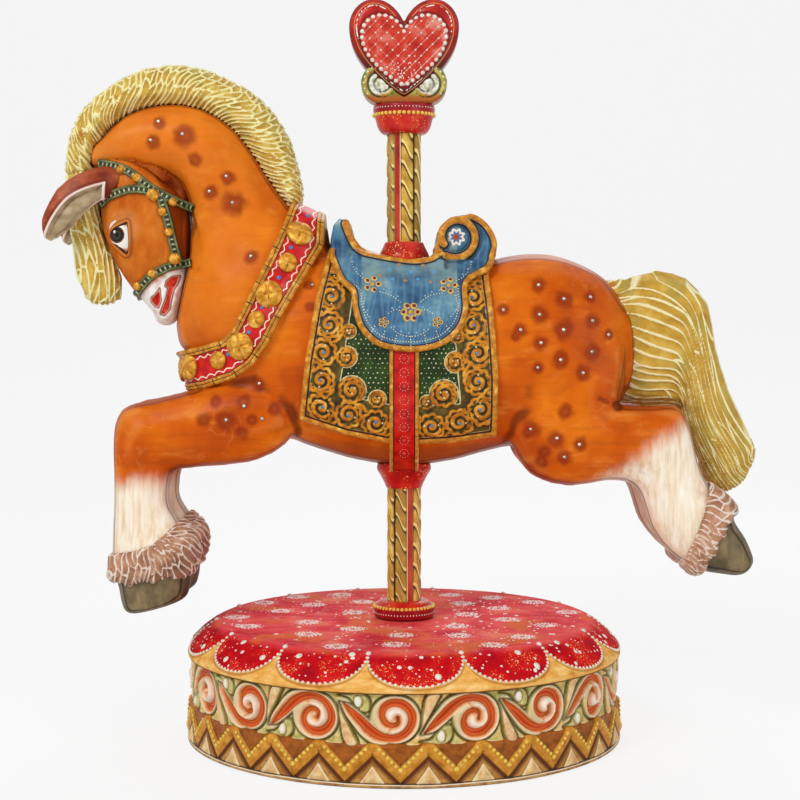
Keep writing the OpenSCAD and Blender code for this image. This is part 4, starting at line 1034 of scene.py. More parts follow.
def tail_cells(xz, y):
    """Cuts follow lines blended between the tail's three runs."""
    lines = []
    for line in TAIL_LINES:
        p = spline(line, 6)
        lines.append(at_runs(p, np.linspace(0, run_of(p)[-1], TAIL_STEPS)))
    k = np.linspace(-0.2, 1.2, TAIL_LANES)
    weights = np.stack([2 * (k - 0.5) * (k - 1), -4 * k * (k - 1), 2 * k * (k - 0.5)], -1)
    grid = np.einsum("kw,wtx->ktx", weights, np.array(lines)).reshape(-1, 2)
    tree = KDTree(len(grid))
    for i, (x, z) in enumerate(grid):
        tree.insert((x, z, 0), i)
    tree.balance()
    near = np.array([tree.find((x, z, 0))[1] for x, z in xz])
    across, along = k[near // TAIL_STEPS], near % TAIL_STEPS / TAIL_STEPS
    return across * 14 + 0.3 * np.sin(along * 13 + across * 4) + 0.25 * y, along * 2.2, 2.4, 60


hair("mane_strands", "mane", mane_cells, 1.2, STRAW)
hair("forelock_strands", "forelock", forelock_cells, 1.1, STRAW)
hair("tail_strands", "tail", tail_cells, 0.9, TAIL_STRAW, 0.43, 1.1)

# ---- Wraps: pieces that follow the carved form under them ----


def slab_faces(n):
    """Faces of an outline of n points that is pushed through: both ends, then the sides."""
    ends = [list(range(n)), list(range(2 * n - 1, n - 1, -1))]
    return ends + [[(k + 1) % n, k, k + n, (k + 1) % n + n] for k in range(n)]


def prism(outline, y0, y1):
    """A side view pushed through across the horse."""
    o = np.asarray(outline, float)
    area = np.sum(o[:, 0] * np.roll(o[:, 1], -1) - np.roll(o[:, 0], -1) * o[:, 1])
    if area < 0:
        o = o[::-1]
    verts = [(x, y, z + HORSE_Z) for y in (y0, y1) for x, z in o]
    mesh = bpy.data.meshes.new("prism")
    mesh.from_pydata((np.array(verts) * MM).tolist(), [], slab_faces(len(o)))
    return placed("prism", mesh)


def wrap(base, outline, lift, y0=-70, y1=70):
    """The part of a form, pushed out by lift, that a side view takes."""
    fat = bumped(placed("copy", base.data.copy()), np.full(len(base.data.vertices), lift))
    cutter = prism(outline, y0, y1)
    mod = fat.modifiers.new("taken", "BOOLEAN")
    mod.operation, mod.solver, mod.object = "INTERSECT", "MANIFOLD", cutter
    applied(fat)
    discard(cutter)
    return fat


def merged(*objs):
    """Joins objects into the first."""
    with bpy.context.temp_override(active_object=objs[0], selected_editable_objects=list(objs)):
        bpy.ops.object.join()
    return objs[0]


def strip(path, half):
    """The outline of a strap of some half width along a path."""
    p = spline(path, 6)
    t = np.gradient(p, axis=0)
    n = np.stack([-t[:, 1], t[:, 0]], -1) / np.linalg.norm(t, axis=1)[:, None]
    return np.concatenate([p + n * half, (p - n * half)[::-1]])


# ---- Feather tufts and hooves ----

FORE_TOP = spline([(-121, -35), (-116, -32.5), (-108, -31), (-100, -28.5), (-93, -22.5), (-87.5, -17)])
HIND_TOP = spline([(126, 1), (121.5, -6), (117.5, -18), (113.5, -28), (109, -40)])
FORE_TUFT = [
    (-123, -35.5), (-116, -32.5), (-108, -31), (-100, -28.5), (-93, -22.5), (-87.5, -17), (-76, -20),
    (-76, -42), (-84, -40.5), (-89, -42.5), (-94, -41), (-99, -43.5), (-104, -42.5), (-109, -45),
    (-114, -43.5), (-123, -46),
]
HIND_TUFT = [
    (128, 3), (121.5, -6), (117.5, -18), (113.5, -28), (108, -41), (113, -48), (119, -39), (119.5, -34),
    (123, -31), (122.5, -27.5), (126, -24.5), (126.5, -21), (131, -17.5), (139, -14), (139, 3),
]
FORE_HOOF = [(-124, -44.5), (-110, -43), (-99, -41), (-76, -37), (-76, -70), (-124, -70)]
HIND_HOOF = [(136, -13), (127, -20), (122.5, -28), (118, -37), (112, -52), (150, -52), (150, -20)]


def tuft_finish():
    """Brown feathers with pale ridges, darker towards the tips, with painted shade in the hollows."""
    f = Finish("feather_paint", 0.55)
    base = f.tones(f.noise(5, 3.0), "#97694c", "#bd8a6a", "#d6b093")
    base = f.coats(base, [
        # Painted shade in the hollows
        (f.step("hollow", 0.1, 0.9), "#6b4030", 0.75),
        (f.step("down", 9, 13), "#6b4a38", 0.5),
    ])
    ridge_ = f.shaken("ridge", f.noise(3), 0.6)
    base = f.mix(f.step(ridge_, 0.36, 0.14), base, "#f3e6da", 0.85)
    return f.done(base, f.noise(1.4), 0.12, 0.5)


def hoof_finish():
    """Horn grey with painted shade where its faces turn away towards the edges, and dark lines along them
    and its outline.
    """
    f = Finish("hoof_paint", 0.45, coat=0.03)
    base = f.ramp(f.noise(7, 3.0, 0.6, (1, 1, 0.5)), (0.3, "#4c4130"), (0.5, "#726347"), (0.72, "#9a8660"))
    # Painted shade where the faces turn away towards the edges
    base = f.mix(f.step("turned", 0.62, 0.25), base, "#2f251a", 0.7)
    line = f.band("turned", 0.7, 0.02, 0.05)
    base = f.coats(base, [
        (line, "#1d140d", 0.8),
        (f.step("edge", 1.6, 0.6), "#2c2016"),
    ])
    return f.done(base, f.noise(2.2, 3.0, 0.6, (0.5, 1, 1)), 0.12, 0.5)


def fore_cells(xz):
    """Strands that hang in front and fan out behind."""
    distance = to_path(xz, FORE_TOP)[0]
    u, v = xz[:, 0] + 100, xz[:, 1] + 26
    fan = np.arctan2(v, u) * 11 + 17.3
    across = np.where(u > 0, fan, u) / 2.0 + 0.25 * np.sin(distance / 1.7)
    return across, np.where(u > 0, np.hypot(u, v), distance) / 7, distance


def hind_cells(xz):
    """Strands that hang across the pastern."""
    distance, run, _ = to_path(xz, HIND_TOP)
    return (run + 0.5 * np.sin(distance / 1.6)) / 2.0, distance / 7, distance


TUFT, HOOF = tuft_finish(), hoof_finish()
for leg, y0, y1 in (("left", -60, -0.5), ("right", 0.5, 60)):
    for end, tuft_outline, cells, hoof_outline in (
        ("fore", FORE_TUFT, fore_cells, FORE_HOOF), ("hind", HIND_TUFT, hind_cells, HIND_HOOF),
    ):
        tuft = remeshed(wrap(horse, tuft_outline, 1.5, y0, y1), 0.5, 4)
        verts = points_of(tuft)
        across, along, down = cells(horse_xz(verts))
        ridge_ = scoops(across + 0.2 * verts[:, 1], along, 2.0, 7)
        swell = 1.3 * np.sin(unit(down / 12) * math.pi * 0.75) + 0.9 * (0.6 - dome(ridge_, 1.1))
        bumped(tuft, swell - 0.8 * unit(1 - down / 1.6))
        add_fields(tuft, ridge=ridge_, down=down, hollow=hollowness(tuft, 3, 0.16))
        finished(tuft, TUFT).name = f"{leg}_{end}_tuft"
        hoof = remeshed(wrap(horse, hoof_outline, 0.35, y0, y1), 0.8, 4)
        add_fields(
            hoof, edge=depth_in(horse_xz(points_of(hoof)), hoof_outline),
            turned=spread(edges_of(hoof), np.abs(normals_of(hoof)[:, 1]), 6),
        )
        finished(hoof, HOOF).name = f"{leg}_{end}_hoof"


# ---- Tack ----

FLAP = [
    (-27, 108), (-29.5, 85.5), (-25, 75.5), (-20.5, 71), (-19.5, 64), (-16.5, 56), (-9.5, 50), (2.5, 48),
    (14, 50), (21.5, 56), (24.5, 64), (25, 74.5), (34, 80.5), (37, 89.5), (36, 108),
]
FLAP = [FLAP[0], *(tuple(p) for p in spline(FLAP[1:-1], 5)), FLAP[-1]]
SEAT_LINE = spline(
    [(-23.5, 98.5), (-20.7, 91.7), (-17.5, 87.8), (-11.5, 86.0), (2.4, 83.8), (10.3, 84.6), (14.3, 87)]
)
SCROLL = (20.8, 93.0)
SCROLL_LINE = np.array([
    (SCROLL[0] + r * math.cos(a), SCROLL[1] + r * math.sin(a))
    for a, r in zip(np.radians(np.linspace(-120, 210, 40)[::-1]), np.linspace(5.6, 8.6, 40))
])
CANTLE_TOP = spline(
    [(12.5, 86), (13.2, 94), (17, 99), (22.5, 101.8), (28.5, 101.2), (33.8, 96.8), (36.6, 90.5), (35.5, 85)]
)
BLANKET = [
    (-28, 108), (-29, 92), (-34.5, 68), (-38.5, 44.5), (-41.5, 20.5), (-23, 14.5), (-1.5, 10.5), (18, 11.5),
    (36.5, 14), (36.5, 36.5), (35, 60), (33, 80), (33, 108),
]
COLLAR = [
    (-43.5, 112), (-47.5, 98), (-53.5, 84), (-61.5, 68), (-67.5, 56), (-72.5, 51.5), (-81.5, 49),
    (-108, 43), (-106, 26), (-87.5, 31.5), (-79.5, 33), (-67.5, 37), (-60, 42), (-54, 50.5), (-47, 64),
    (-39, 77.5), (-32.5, 90), (-32, 112),
]
COLLAR_MID = spline([
    (-37.5, 108), (-40, 95), (-46, 82), (-53.5, 68.5), (-60.5, 55), (-67, 47.5), (-75, 43.2), (-88, 39),
    (-100, 35),
])
# Runs of the bridle's straps: crown, brow, cheek and nose
STRAPS = [
    CROWN_STRAP,
    [(-122.5, 106), (-117.5, 109.5), (-107.5, 112), (-97.5, 110.5)],
    [(-97.5, 110), (-94.5, 100), (-92, 88), (-90.5, 83)],
    [(-85.5, 83), (-93.5, 81.5), (-101.5, 77.5), (-107.5, 71.5), (-110, 68)],
]
BORDER = spline([
    (-27.5, 80), (-28, 70), (-31.5, 45), (-33, 27), (-21, 22), (-1.5, 18.5), (17, 19), (28.8, 22),
    (28.8, 40), (27, 62), (26.5, 80),
])
# Rosettes of the collar: place in the side view and share of the large width
COLLAR_ROSETTES = [
    (-41.5, 94, 1), (-46, 82.5, 0.7), (-53, 70, 1), (-58, 60, 0.65), (-64.5, 49.5, 1), (-73.5, 44, 0.65),
]
BRIDLE_STUDS = [
    (-100, 109.5, 1.25), (-92, 84.5, 1.25), (-113, 120, 0.9), (-106.5, 116.5, 0.9), (-92.5, 107, 0.9),
    (-96.5, 103, 0.9), (-94, 95, 0.9), (-101, 78.5, 0.9), (-107.5, 73.5, 0.9),
]
BODY_STUDS = [
    (53, 73.7), (62.8, 68.2), (73.8, 69), (53, 62), (62.4, 56.1), (74.2, 59.6), (80.8, 54.1), (45.5, 56.1),
    (53.4, 51), (73.8, 47.4), (61.2, 44.3), (52.2, 41.2), (70.2, 39.2), (38.8, 63.9), (49.8, 16.8),
    (60, 13.5), (63, 6), (68.9, 11), (-98, 139), (-101, 131.4), (-88.2, 133.8), (-77.4, 111), (-70.6, 117),
    (-68.2, 106.5), (-60.6, 85.1), (-36.2, 73.8), (-63.2, 26), (-57.4, 34.8), (-56, 21), (-70.2, 20.5),
]


def gilding(f, size=2.5):
    """Gold paint, a little uneven."""
    return f.ramp(
        f.noise(size, 4.0, 0.6), (0.3, "#a0621a"), (0.47, "#c07a20"), (0.6, "#dc9c34"), (0.75, "#f5cf72"),
    )


def gold_finish():
    """Gilt of the rosettes and studs."""
    f = Finish("gilt", 0.4, metallic=0.3)
    colour = f.tones(f.noise(2.2, 4.0), "#a8691a", "#cf8f2b", "#eebd5c")
    return f.done(colour, f.noise(0.9), 0.08, 0.5)


def dot_finish(name, code):
    """Paint of one colour, a quarter darker in places."""
    f = Finish(name, 0.35, coat=0.06)
    c = paint(code)
    dark = tuple(v * 0.75 for v in c[:3]) + (1,)
    return f.done(f.ramp(f.noise(0.8), (0.35, dark), (0.6, c)))


GILT = gold_finish()
WHITE_DOT = dot_finish("white_dots", "#f3eee0")
YELLOW_DOT = dot_finish("yellow_dots", "#f4d65a")
BLUE_DOT = dot_finish("blue_dots", "#4f8fd0")


def medallion(u, v, size=1.0):
    """Height of a round leafy scroll about its middle: 0 on the ground, up to 1."""
    r, a = np.hypot(u, v) / size, np.arctan2(v, u)
    spiral = (a / TURN + r / 2.6) % 1.0
    curl = unit(1.25 - np.abs(spiral - 0.5) * 3.4) * (r < 3.9)
    leaf = unit(1 - np.abs(r - 4.4 - 0.8 * np.abs(np.cos(4.5 * a))) / 0.9)
    return np.maximum.reduce([curl, leaf, unit(1.5 - r / 0.8)])


def medallions(run, off, period):
    """A running band of scrolls on a waving stem."""
    k = np.round(run / period)
    flip = np.where(k.astype(int) % 2 == 0, 1.0, -1.0)
    u, v = run - k * period, (off - 0.5 * flip) * flip
    wave = 5.4 * np.sin(math.pi * run / period + 0.6)
    stem = unit(1.2 - np.abs(off - wave) / 0.9) * (np.hypot(u, v) > 5.4)
    return np.maximum(medallion(u, v), stem)


# Scrolls inside the border: middle and size
CORNER_SCROLLS = [
    (-20.5, 32.5, 0.95), (-10.5, 29, 0.62), (-22.5, 45.5, 0.72), (15.5, 31, 0.95), (20, 43.5, 0.72),
    (8.8, 27.8, 0.5), (-21.5, 55.5, 0.5), (20.8, 53.5, 0.5),
]


def blanket_piece():
    """Green cloth inside a band of bronze scrolls and a gilt edge."""
    obj = remeshed(wrap(horse, BLANKET, 2.2), 0.65, 4)
    verts = points_of(obj)
    xz = horse_xz(verts)
    edge = depth_in(xz, BLANKET)
    distance, run, side = to_path(xz, BORDER)
    band = unit((8.2 - distance) / 0.8) * unit((edge - 2.4) / 0.5)
    relief = medallions(run, distance * side, 11.0) * band
    for x, z, size in CORNER_SCROLLS:
        scroll = medallion(xz[:, 0] - x, xz[:, 1] - z, size)
        relief = np.maximum(relief, scroll)
        band = np.maximum(band, unit((6.4 * size - np.hypot(xz[:, 0] - x, xz[:, 1] - z)) / 0.8))
    outside = np.abs(verts[:, 1]) > 8
    bumped(obj, outside * (0.6 * ridge(np.abs(edge - 0.9), 1.1) + 0.75 * relief))
    add_fields(obj, edge=edge, relief=relief, band=band, hollow=hollowness(obj, 3, 0.12))
    f = Finish("blanket_paint", 0.42, coat=0.075)
    field = f.tones(f.noise(7, 3.0), "#16260a", "#22380f", "#33501a")
    ground = f.ramp(f.noise(5), (0.35, "#46330f"), (0.6, "#6b5a1e"))
    colour = f.mix("band", field, ground)
    colour = f.mix(f.band("band", 0.5, 0.12, 0.2), colour, "#e6dca6", 0.8)
    bronze = f.ramp(
        f.noise(3.5, 4.0), (0.28, "#94500e"), (0.45, "#c47714"), (0.6, "#de9626"), (0.75, "#edbf5c"),
    )
    colour = f.mix(f.step("relief", 0.22, 0.5), colour, bronze)
    colour = f.coats(colour, [
        (f.band("edge", 2.3, 0.25, 0.2), "#5f220c"),
        (f.step("edge", 2.0, 1.8), gilding(f)),
        # Painted shade in the hollows
        (f.step("hollow", 0.2, 0.9), "#1d1208", 0.75),
    ])
    f.done(colour, f.noise(1.2), 0.1, 0.5)
    return finished(obj, f.material, replaced=("saddle_blanket",))


blanket = blanket_piece()
blanket.name = "blanket"
blanket_surface = surface_tree(blanket)


def path_places(line, step, start=0.0):
    """Points at even steps along a line."""
    line = np.asarray(line, float)
    return at_runs(line, np.arange(start, run_of(line)[-1], step))


def paint_dots(name, tree, xz, sizes, finish, flat=0.35, shape=FLAT_DOT):
    """Dots of paint on both sides of the horse."""
    places, facings = both_sides(tree, xz)
    sizes = np.tile(np.broadcast_to(sizes, (len(xz),)), 2)
    dots(name, places, facings, sizes, shape, finish, flat=flat)


x, z = [g.ravel() for g in np.meshgrid(np.arange(-34, 32, 1.9), np.arange(24, 82, 1.9))]
x = x + 0.95 * (np.round(z / 1.9) % 2)
grid = np.stack([x, z], -1) + random.uniform(-0.2, 0.2, (len(x), 2))
free = (to_path(grid, BORDER)[0] > 8.8) & (depth_in(grid, BLANKET) > 10)
free &= (depth_in(grid, FLAP) < 0.5) & (np.abs(x) > 6)
for x, z, size in CORNER_SCROLLS:
    free &= np.hypot(grid[:, 0] - x, grid[:, 1] - z) > 6.6 * size
grid = grid[free]
paint_dots(
    "blanket_dots", blanket_surface, grid, random.choice([0.4, 0.5, 0.75], len(grid)),
    dot_finish("cream_dots", "#e4dfb8"),
)
stops = np.array([
    (x + 1.5 * size * math.cos(a), z + 1.5 * size * math.sin(a))
    for x, z, size in CORNER_SCROLLS for a in (0.6, 2.7, 4.8)
])
paint_dots(
    "blanket_gold_dots", blanket_surface, np.concatenate([stops, path_places(BORDER, 5.5, 2.7)]), 0.95,
    dot_finish("cream_beads", "#efe6b8"),
)
paint_dots(
    "blanket_blue_dots", blanket_surface, path_places(BORDER, 11.0, 0.1), 1.5, BLUE_DOT,
)

# ---- Saddle ----


def saddle_piece():
    """The seat with its flaps, pommel and rolled cantle, gilt along every rim."""
    flap = wrap(horse, FLAP, 4.8)
    pommel = prism(
        [
            (-30, 80), (-29.6, 92), (-28.4, 98), (-25.8, 100.8), (-22.8, 99.5), (-21, 93), (-18, 89),
            (-13, 86), (-8, 78),
        ],
        -13, 13,
    )
    seat = prism([(-24, 78), (-20, 88), (-14, 85.8), (2, 83.2), (10, 84.2), (16, 88), (16, 78)], -20, 20)
    cantle = prism(np.concatenate([CANTLE_TOP, [(33.5, 78), (12, 78)]]), -17.0, 17.0)
    obj = remeshed(merged(flap, pommel, seat, cantle), 0.6, 9)
    verts = points_of(obj)
    xz = horse_xz(verts)
    flank = unit(np.abs(verts[:, 1]) / 14 - 0.4)
    edge = depth_in(xz, FLAP)
    seat_line = to_path(xz, SEAT_LINE)[0]
    scroll = np.where(np.abs(verts[:, 1]) > 13, to_path(xz, SCROLL_LINE)[0], 9.0)
    top = to_path(xz, CANTLE_TOP)[0]
    from_eye = np.hypot(xz[:, 0] - SCROLL[0], xz[:, 1] - SCROLL[1])
    in_cantle = (xz[:, 1] > 84) & (xz[:, 0] > 10)
    rim = np.where(xz[:, 1] < 88, edge, 9.0)
    rim = np.minimum(rim, np.where(np.abs(verts[:, 1]) > 8, seat_line + 0.2, 9))
    rim = np.minimum(
        rim, np.where(in_cantle & (np.abs(verts[:, 1]) > 13.5), np.minimum(scroll + 0.3, top), 9),
    )
    rim = np.clip(rim, 0, 9)
    relief = 0.8 * ridge(np.abs(rim - 0.8), 1.25)
    relief -= 1.0 * groove(np.abs(scroll - 2.2), 1.3) * in_cantle
    k = np.round((xz[:, 0] - 2.5) / 9.0)
    fan = np.arctan2(xz[:, 1] - 40 - 5 * np.abs(k), xz[:, 0] - 2.5 - 9 * k) * 9 + 0.02 * edge
    ribs = np.sin(TURN * fan) * unit((edge - 3) / 2) * (xz[:, 1] < 76)
    bumped(obj, relief + 0.12 * ribs * flank)
    x = xz[:, 0] - 2
    add_fields(
        obj, rim=rim, edge=edge, eye=np.where(np.abs(verts[:, 1]) > 13, from_eye, 20.0),
        petal=np.arctan2(xz[:, 1] - SCROLL[1], xz[:, 0] - SCROLL[0]), fan=fan,
        seat=unit((xz[:, 1] - 75 + 0.03 * x ** 2 * (np.abs(x) > 9)) / 6) * (np.abs(x) < 19),
        hollow=hollowness(obj, 3, 0.14),
    )
    f = Finish("saddle_paint", 0.34, coat=0.105)
    colour = f.ramp(
        f.noise(9, 3.0), (0.28, "#24466a"), (0.47, "#3c688a"), (0.62, "#5a88a0"), (0.76, "#8fb0b4"),
    )
    lines = f.math("SINE", f.both("fan", TURN))
    colour = f.mix(f.step(lines, 0.2, 0.95), colour, "#7fa6b8", 0.22)
    seat = f.ramp(f.noise(5), (0.3, "#557a8c"), (0.6, "#87a3a3"))
    colour = f.mix("seat", colour, seat, 0.8)
    petals = f.math("ADD", "eye", f.both(f.math("COSINE", f.both("petal", 8.0)), 0.45))
    colour = f.coats(colour, [
        (f.step(petals, 3.4, 3.1), "#e8ded0"),
        (f.step(petals, 2.2, 1.9), "#4a6f92"),
        (f.step("eye", 1.2, 0.9), "#b23a24"),
    ])
    colour = f.coats(colour, [
        (f.band("rim", 2.0, 0.15, 0.25), "#2a1a0c"),
        (f.step("rim", 1.75, 1.5), gilding(f)),
        # Painted shade in the hollows
        (f.step("hollow", 0.25, 0.9), "#14202a", 0.6),
    ])
    f.done(colour, f.noise(1.5), 0.1, 0.4)
    return finished(obj, f.material, replaced=("saddle", "saddle_cantle"))


saddle = saddle_piece()
saddle.name = "saddle"
saddle_surface = surface_tree(saddle)


def flower(x, z, size, petals=5, turn=0.0):
    """Places and sizes of a small painted flower's petals."""
    a = turn + np.arange(petals) * TURN / petals
    return np.stack(
        [x + size * 0.62 * np.cos(a), z + size * 0.62 * np.sin(a)], -1,
    ), np.full(petals, size * 0.78)


PETALS = [
    flower(*p)
    for p in [(-12.5, 74, 3.9), (2.5, 63, 4.4, 6), (17.5, 73.5, 3.9), (-8, 59, 2.3), (13, 59.0, 2.3)]
]
petal_xz, petal_size = np.concatenate([p for p, _ in PETALS]), np.concatenate([s for _, s in PETALS])
paint_dots(
    "saddle_petals", saddle_surface, petal_xz, petal_size, dot_finish("petal_paint", "#e4c06a"),
    0.16,
)
paint_dots(
    "saddle_inner_petals", saddle_surface, petal_xz, petal_size * 0.62, dot_finish("petal_plum", "#7c1f2c"),
    0.42,
)
paint_dots(
    "saddle_flower_eyes", saddle_surface, [(-12.5, 74), (2.5, 63), (17.5, 73.5), (-8, 59), (13, 59)],
    [2.0, 2.3, 2.0, 1.3, 1.3], dot_finish("eye_gold", "#e0a845"), 0.4,
)
sprays = [
    [(-21, 83), (-19, 79), (-15.5, 76)], [(27, 83), (24.5, 78), (20, 75)],
    [(-9.5, 71), (-5, 69.5), (-1, 66.5)], [(15, 70.5), (10, 69.5), (6, 66.5)],
    [(-15, 69.5), (-16, 65), (-13.5, 61)], [(20, 69.5), (21, 65), (18, 61)],
    [(-5, 57), (-2, 54.5), (2.5, 53.5), (7, 54.5), (10, 57)], [(-6, 62.5), (-3.5, 64), (-1.5, 63.5)],
    [(11, 62.5), (8.5, 64), (6.5, 63.5)],
]
rays = [
    [(x, z), (x * 1.18 - 0.45, z - 4.6)]
    for x, z in [
        (-11.5, 57.5), (-7.5, 55.5), (-3, 53.8), (2.5, 53.4), (8, 53.8), (12.5, 55.5), (16.5, 57.5),
    ]
]
spray_xz = np.concatenate([path_places(spline(s), 1.15) for s in sprays + rays])
rim_line = path_places([p for p in FLAP if p[1] < 100], 1.25)
inset = np.array(
    [(p[0] + (2.5 - p[0]) * 3.4 / 24, p[1] + 3.4 * (75 - p[1]) / 27) for p in rim_line if p[1] < 74]
)
paint_dots(
    "saddle_sprays", saddle_surface, np.concatenate([spray_xz, inset]), 0.6,
    dot_finish("pale_yellow_dots", "#ece2b4"), 0.4,
)
leaves = np.concatenate([path_places(spline(s), 3.1, 1.4) + np.array([0.2, 1.3]) for s in sprays])
paint_dots(
    "saddle_leaves", saddle_surface, leaves, 1.1, dot_finish("leaf_paint", "#7fb4d8"), 0.25,
)
ovals = [
    (-6, 80), (-2, 82), (3, 79), (7.5, 81.5), (12, 79), (-9.5, 77.5), (-4.5, 76), (0.5, 75.5), (5.5, 76),
    (10.5, 75),
]
for name, share, code in (
    ("saddle_blue_ovals", ovals[::2], "#5fa0d8"), ("saddle_amber_ovals", ovals[1::2], "#c08a58"),
):
    paint_dots(name, saddle_surface, share, 1.9, dot_finish(name, code), 0.15)

# ---- Girth ----


def girth_piece():
    """A red strap with gilt edges."""
    obj = remeshed(wrap(horse, [(-5.4, -12), (5.4, -12), (5.4, 52), (-5.4, 52)], 3.4), 0.55, 4)
    verts = points_of(obj)
    xz = horse_xz(verts)
    across = np.abs(xz[:, 0])
    bumped(obj, 0.5 * ridge(np.abs(across - 4.9), 0.9))
    add_fields(obj, across=across, hollow=hollowness(obj, 3, 0.14))
    f = Finish("girth_paint", 0.36, coat=0.09)
    colour = f.tones(f.noise(4), "#980c0a", "#c4140f", "#da2a1c")
    colour = f.coats(colour, [
        (f.step("across", 4.15, 4.4), gilding(f)),
        (f.band("across", 4.1, 0.12, 0.2), "#4a0d0a"),
    ])
    f.done(colour, f.noise(1.2), 0.1, 0.5)
    return finished(obj, f.material, replaced=("girth_strap",))


girth = girth_piece()
girth.name = "girth"
girth_surface = surface_tree(girth)
studs_xz = [(0, z) for z in np.arange(7.0, 47, 5.4)]
paint_dots(
    "girth_studs", girth_surface, studs_xz, 1.7, dot_finish("rose_dots", "#c9473a"), 0.6, DOME,
)
rings = np.concatenate([
    np.array([(1.75 * math.cos(a), z + 1.75 * math.sin(a)) for a in np.arange(10) * TURN / 10])
    for _, z in studs_xz
])
paint_dots("girth_rings", girth_surface, rings, 0.5, dot_finish("pink_dots", "#e79a8c"), 0.35)

# ---- Breast collar ----


def collar_piece():
    """A red breast strap with gilt edges and a scalloped white line."""
    chest = skin("chest", 1.0, 14, "horse_torso", "horse_neck")
    obj = remeshed(wrap(chest, COLLAR, 3.3), 0.55, 4)
    discard(chest)
    verts = points_of(obj)
    xz = horse_xz(verts)
    edge = depth_in(xz, COLLAR)
    _, run, _ = to_path(xz, COLLAR_MID)
    bumped(obj, 0.5 * ridge(np.abs(edge - 1.2), 1.5, 0.7) - 0.3 * groove(np.abs(edge - 1.35), 0.35))
    loops = edge - 3.3 - 1.1 * np.abs(np.sin(math.pi * run / 3.6))
    add_fields(obj, edge=edge, run=run, loops=loops, hollow=hollowness(obj, 3, 0.14))
    f = Finish("collar_paint", 0.42, coat=0.1)
    colour = f.tones(f.noise(4), "#a80f12", "#cb1418", "#de2a1e")
    colour = f.mix(f.band("loops", 0.0, 0.14, 0.2), colour, "#f6e4cf")
    colour = f.coats(colour, [
        (f.step("edge", 2.75, 2.55), gilding(f)),
        (f.band("edge", 1.35, 0.06, 0.15), "#3a220c"),
    ])
    ticks = f.both(
        f.step(f.math("COSINE", f.both("run", TURN / 8.0)), 0.90, 0.95), f.step("edge", 2.5, 2.2),
    )
    pair = f.step(f.math("COSINE", f.both("run", TURN / 1.2)), 0.1, 0.6)
    colour = f.coats(colour, [
        (f.both(ticks, pair), "#33200e"),
        (f.band("edge", 2.75, 0.08, 0.2), "#5c1408"),
        # Painted shade in the hollows
        (f.step("hollow", 0.25, 0.9), "#2d0b06", 0.5),
    ])
    f.done(colour, f.noise(1.2), 0.06, 0.5)
    return finished(obj, f.material, replaced=("breast_collar",))


collar = collar_piece()
collar.name = "breast_collar_relief"
collar_surface = surface_tree(collar)
xz = [(x, z) for x, z, _ in COLLAR_ROSETTES]
places, facings = both_sides(collar_surface, xz)
sizes = np.array([11.0 * s for *_, s in COLLAR_ROSETTES] * 2)
front = [(-87, 0, 40), (-84.5, -13, 41), (-84.5, 13, 41)]
for x, y, z in front:
    place, normal, _, _ = collar_surface.find_nearest(Vector((x, y, z + HORSE_Z)) * MM)
    places = np.vstack([places, np.array(place) / MM])
    facings = np.vstack([facings, np.array(normal)])
sizes = np.append(sizes, [10.5] * 3)
dots(
    "collar_rosettes_relief", places + facings * 0.6, facings, sizes, ROSETTE, GILT, flat=0.75,
    replaced=("collar_rosettes",),
)
blue = [(-44.6, 88.5), (-49.3, 76.5), (-55.8, 65), (-61.2, 55), (-69.5, 46.3), (-38.6, 101.5)]
paint_dots("collar_blue_dots", collar_surface, blue, 1.9, BLUE_DOT, 0.5, DOME)

# ---- Bridle ----

skull = skin("skull", 0.9, 14, "horse_head", "horse_neck")
straps = [wrap(skull, strip(path, 1.62), 1.35) for path in STRAPS]
bridle = remeshed(merged(*straps), 0.5, 4)
discard(skull)
xz = horse_xz(points_of(bridle))
middle = np.minimum.reduce([to_path(xz, spline(path))[0] for path in STRAPS])
along = np.zeros(len(xz))
for path in STRAPS:
    d, run, _ = to_path(xz, spline(path))
    along = np.where(np.isclose(d, middle), run, along)
bumped(bridle, 0.35 * ridge(np.abs(middle - 1.35), 0.6) - 0.15)
add_fields(bridle, middle=middle, run=along, hollow=hollowness(bridle, 3, 0.12))


def bridle_finish():
    """Olive straps with a row of pale beads painted down the middle."""
    f = Finish("bridle_strap_paint", 0.42, coat=0.06)
    colour = f.tones(f.noise(4), "#48502f", "#6b7448", "#929a68")
    beads = f.both(
        f.step(f.math("SINE", f.both("run", TURN / 2.0)), 0.35, 0.7), f.step("middle", 0.8, 0.45),
    )
    colour = f.coats(colour, [
        (f.step("middle", 0.95, 0.75), "#2e3520"),
        (beads, "#b9bd90"),
        (f.step("middle", 1.25, 1.55), "#4f3f1f"),
        # Painted shade in the hollows
        (f.step("hollow", 0.3, 0.9), "#20160a", 0.6),
    ])
    return f.done(colour, f.noise(1.0), 0.1, 0.5)


finished(bridle, bridle_finish(), replaced=("bridle",)).name = "bridle_straps"
bridle_surface = surface_tree(bridle)
xz = [(x, z) for x, z, _ in BRIDLE_STUDS]
places, facings = both_sides(bridle_surface, xz)
dots(
    "bridle_rosettes", places + facings * 0.2, facings, np.array([3.9 * s for *_, s in BRIDLE_STUDS] * 2),
    STUD, GILT, replaced=("bridle_studs",),
)


def steel_finish():
    """Bright steel of the small studs."""
    f = Finish("steel_studs", 0.28, metallic=0.9)
    return f.done(f.ramp(f.noise(1.5), (0.3, "#8b8780"), (0.6, "#cfcbc2")))


places, facings = both_sides(horse_surface, BODY_STUDS)
dots(
    "coat_studs", places, facings, 1.75, DOME, steel_finish(), flat=0.8,
    replaced=("body_studs",),
)


# ---- Pole ----

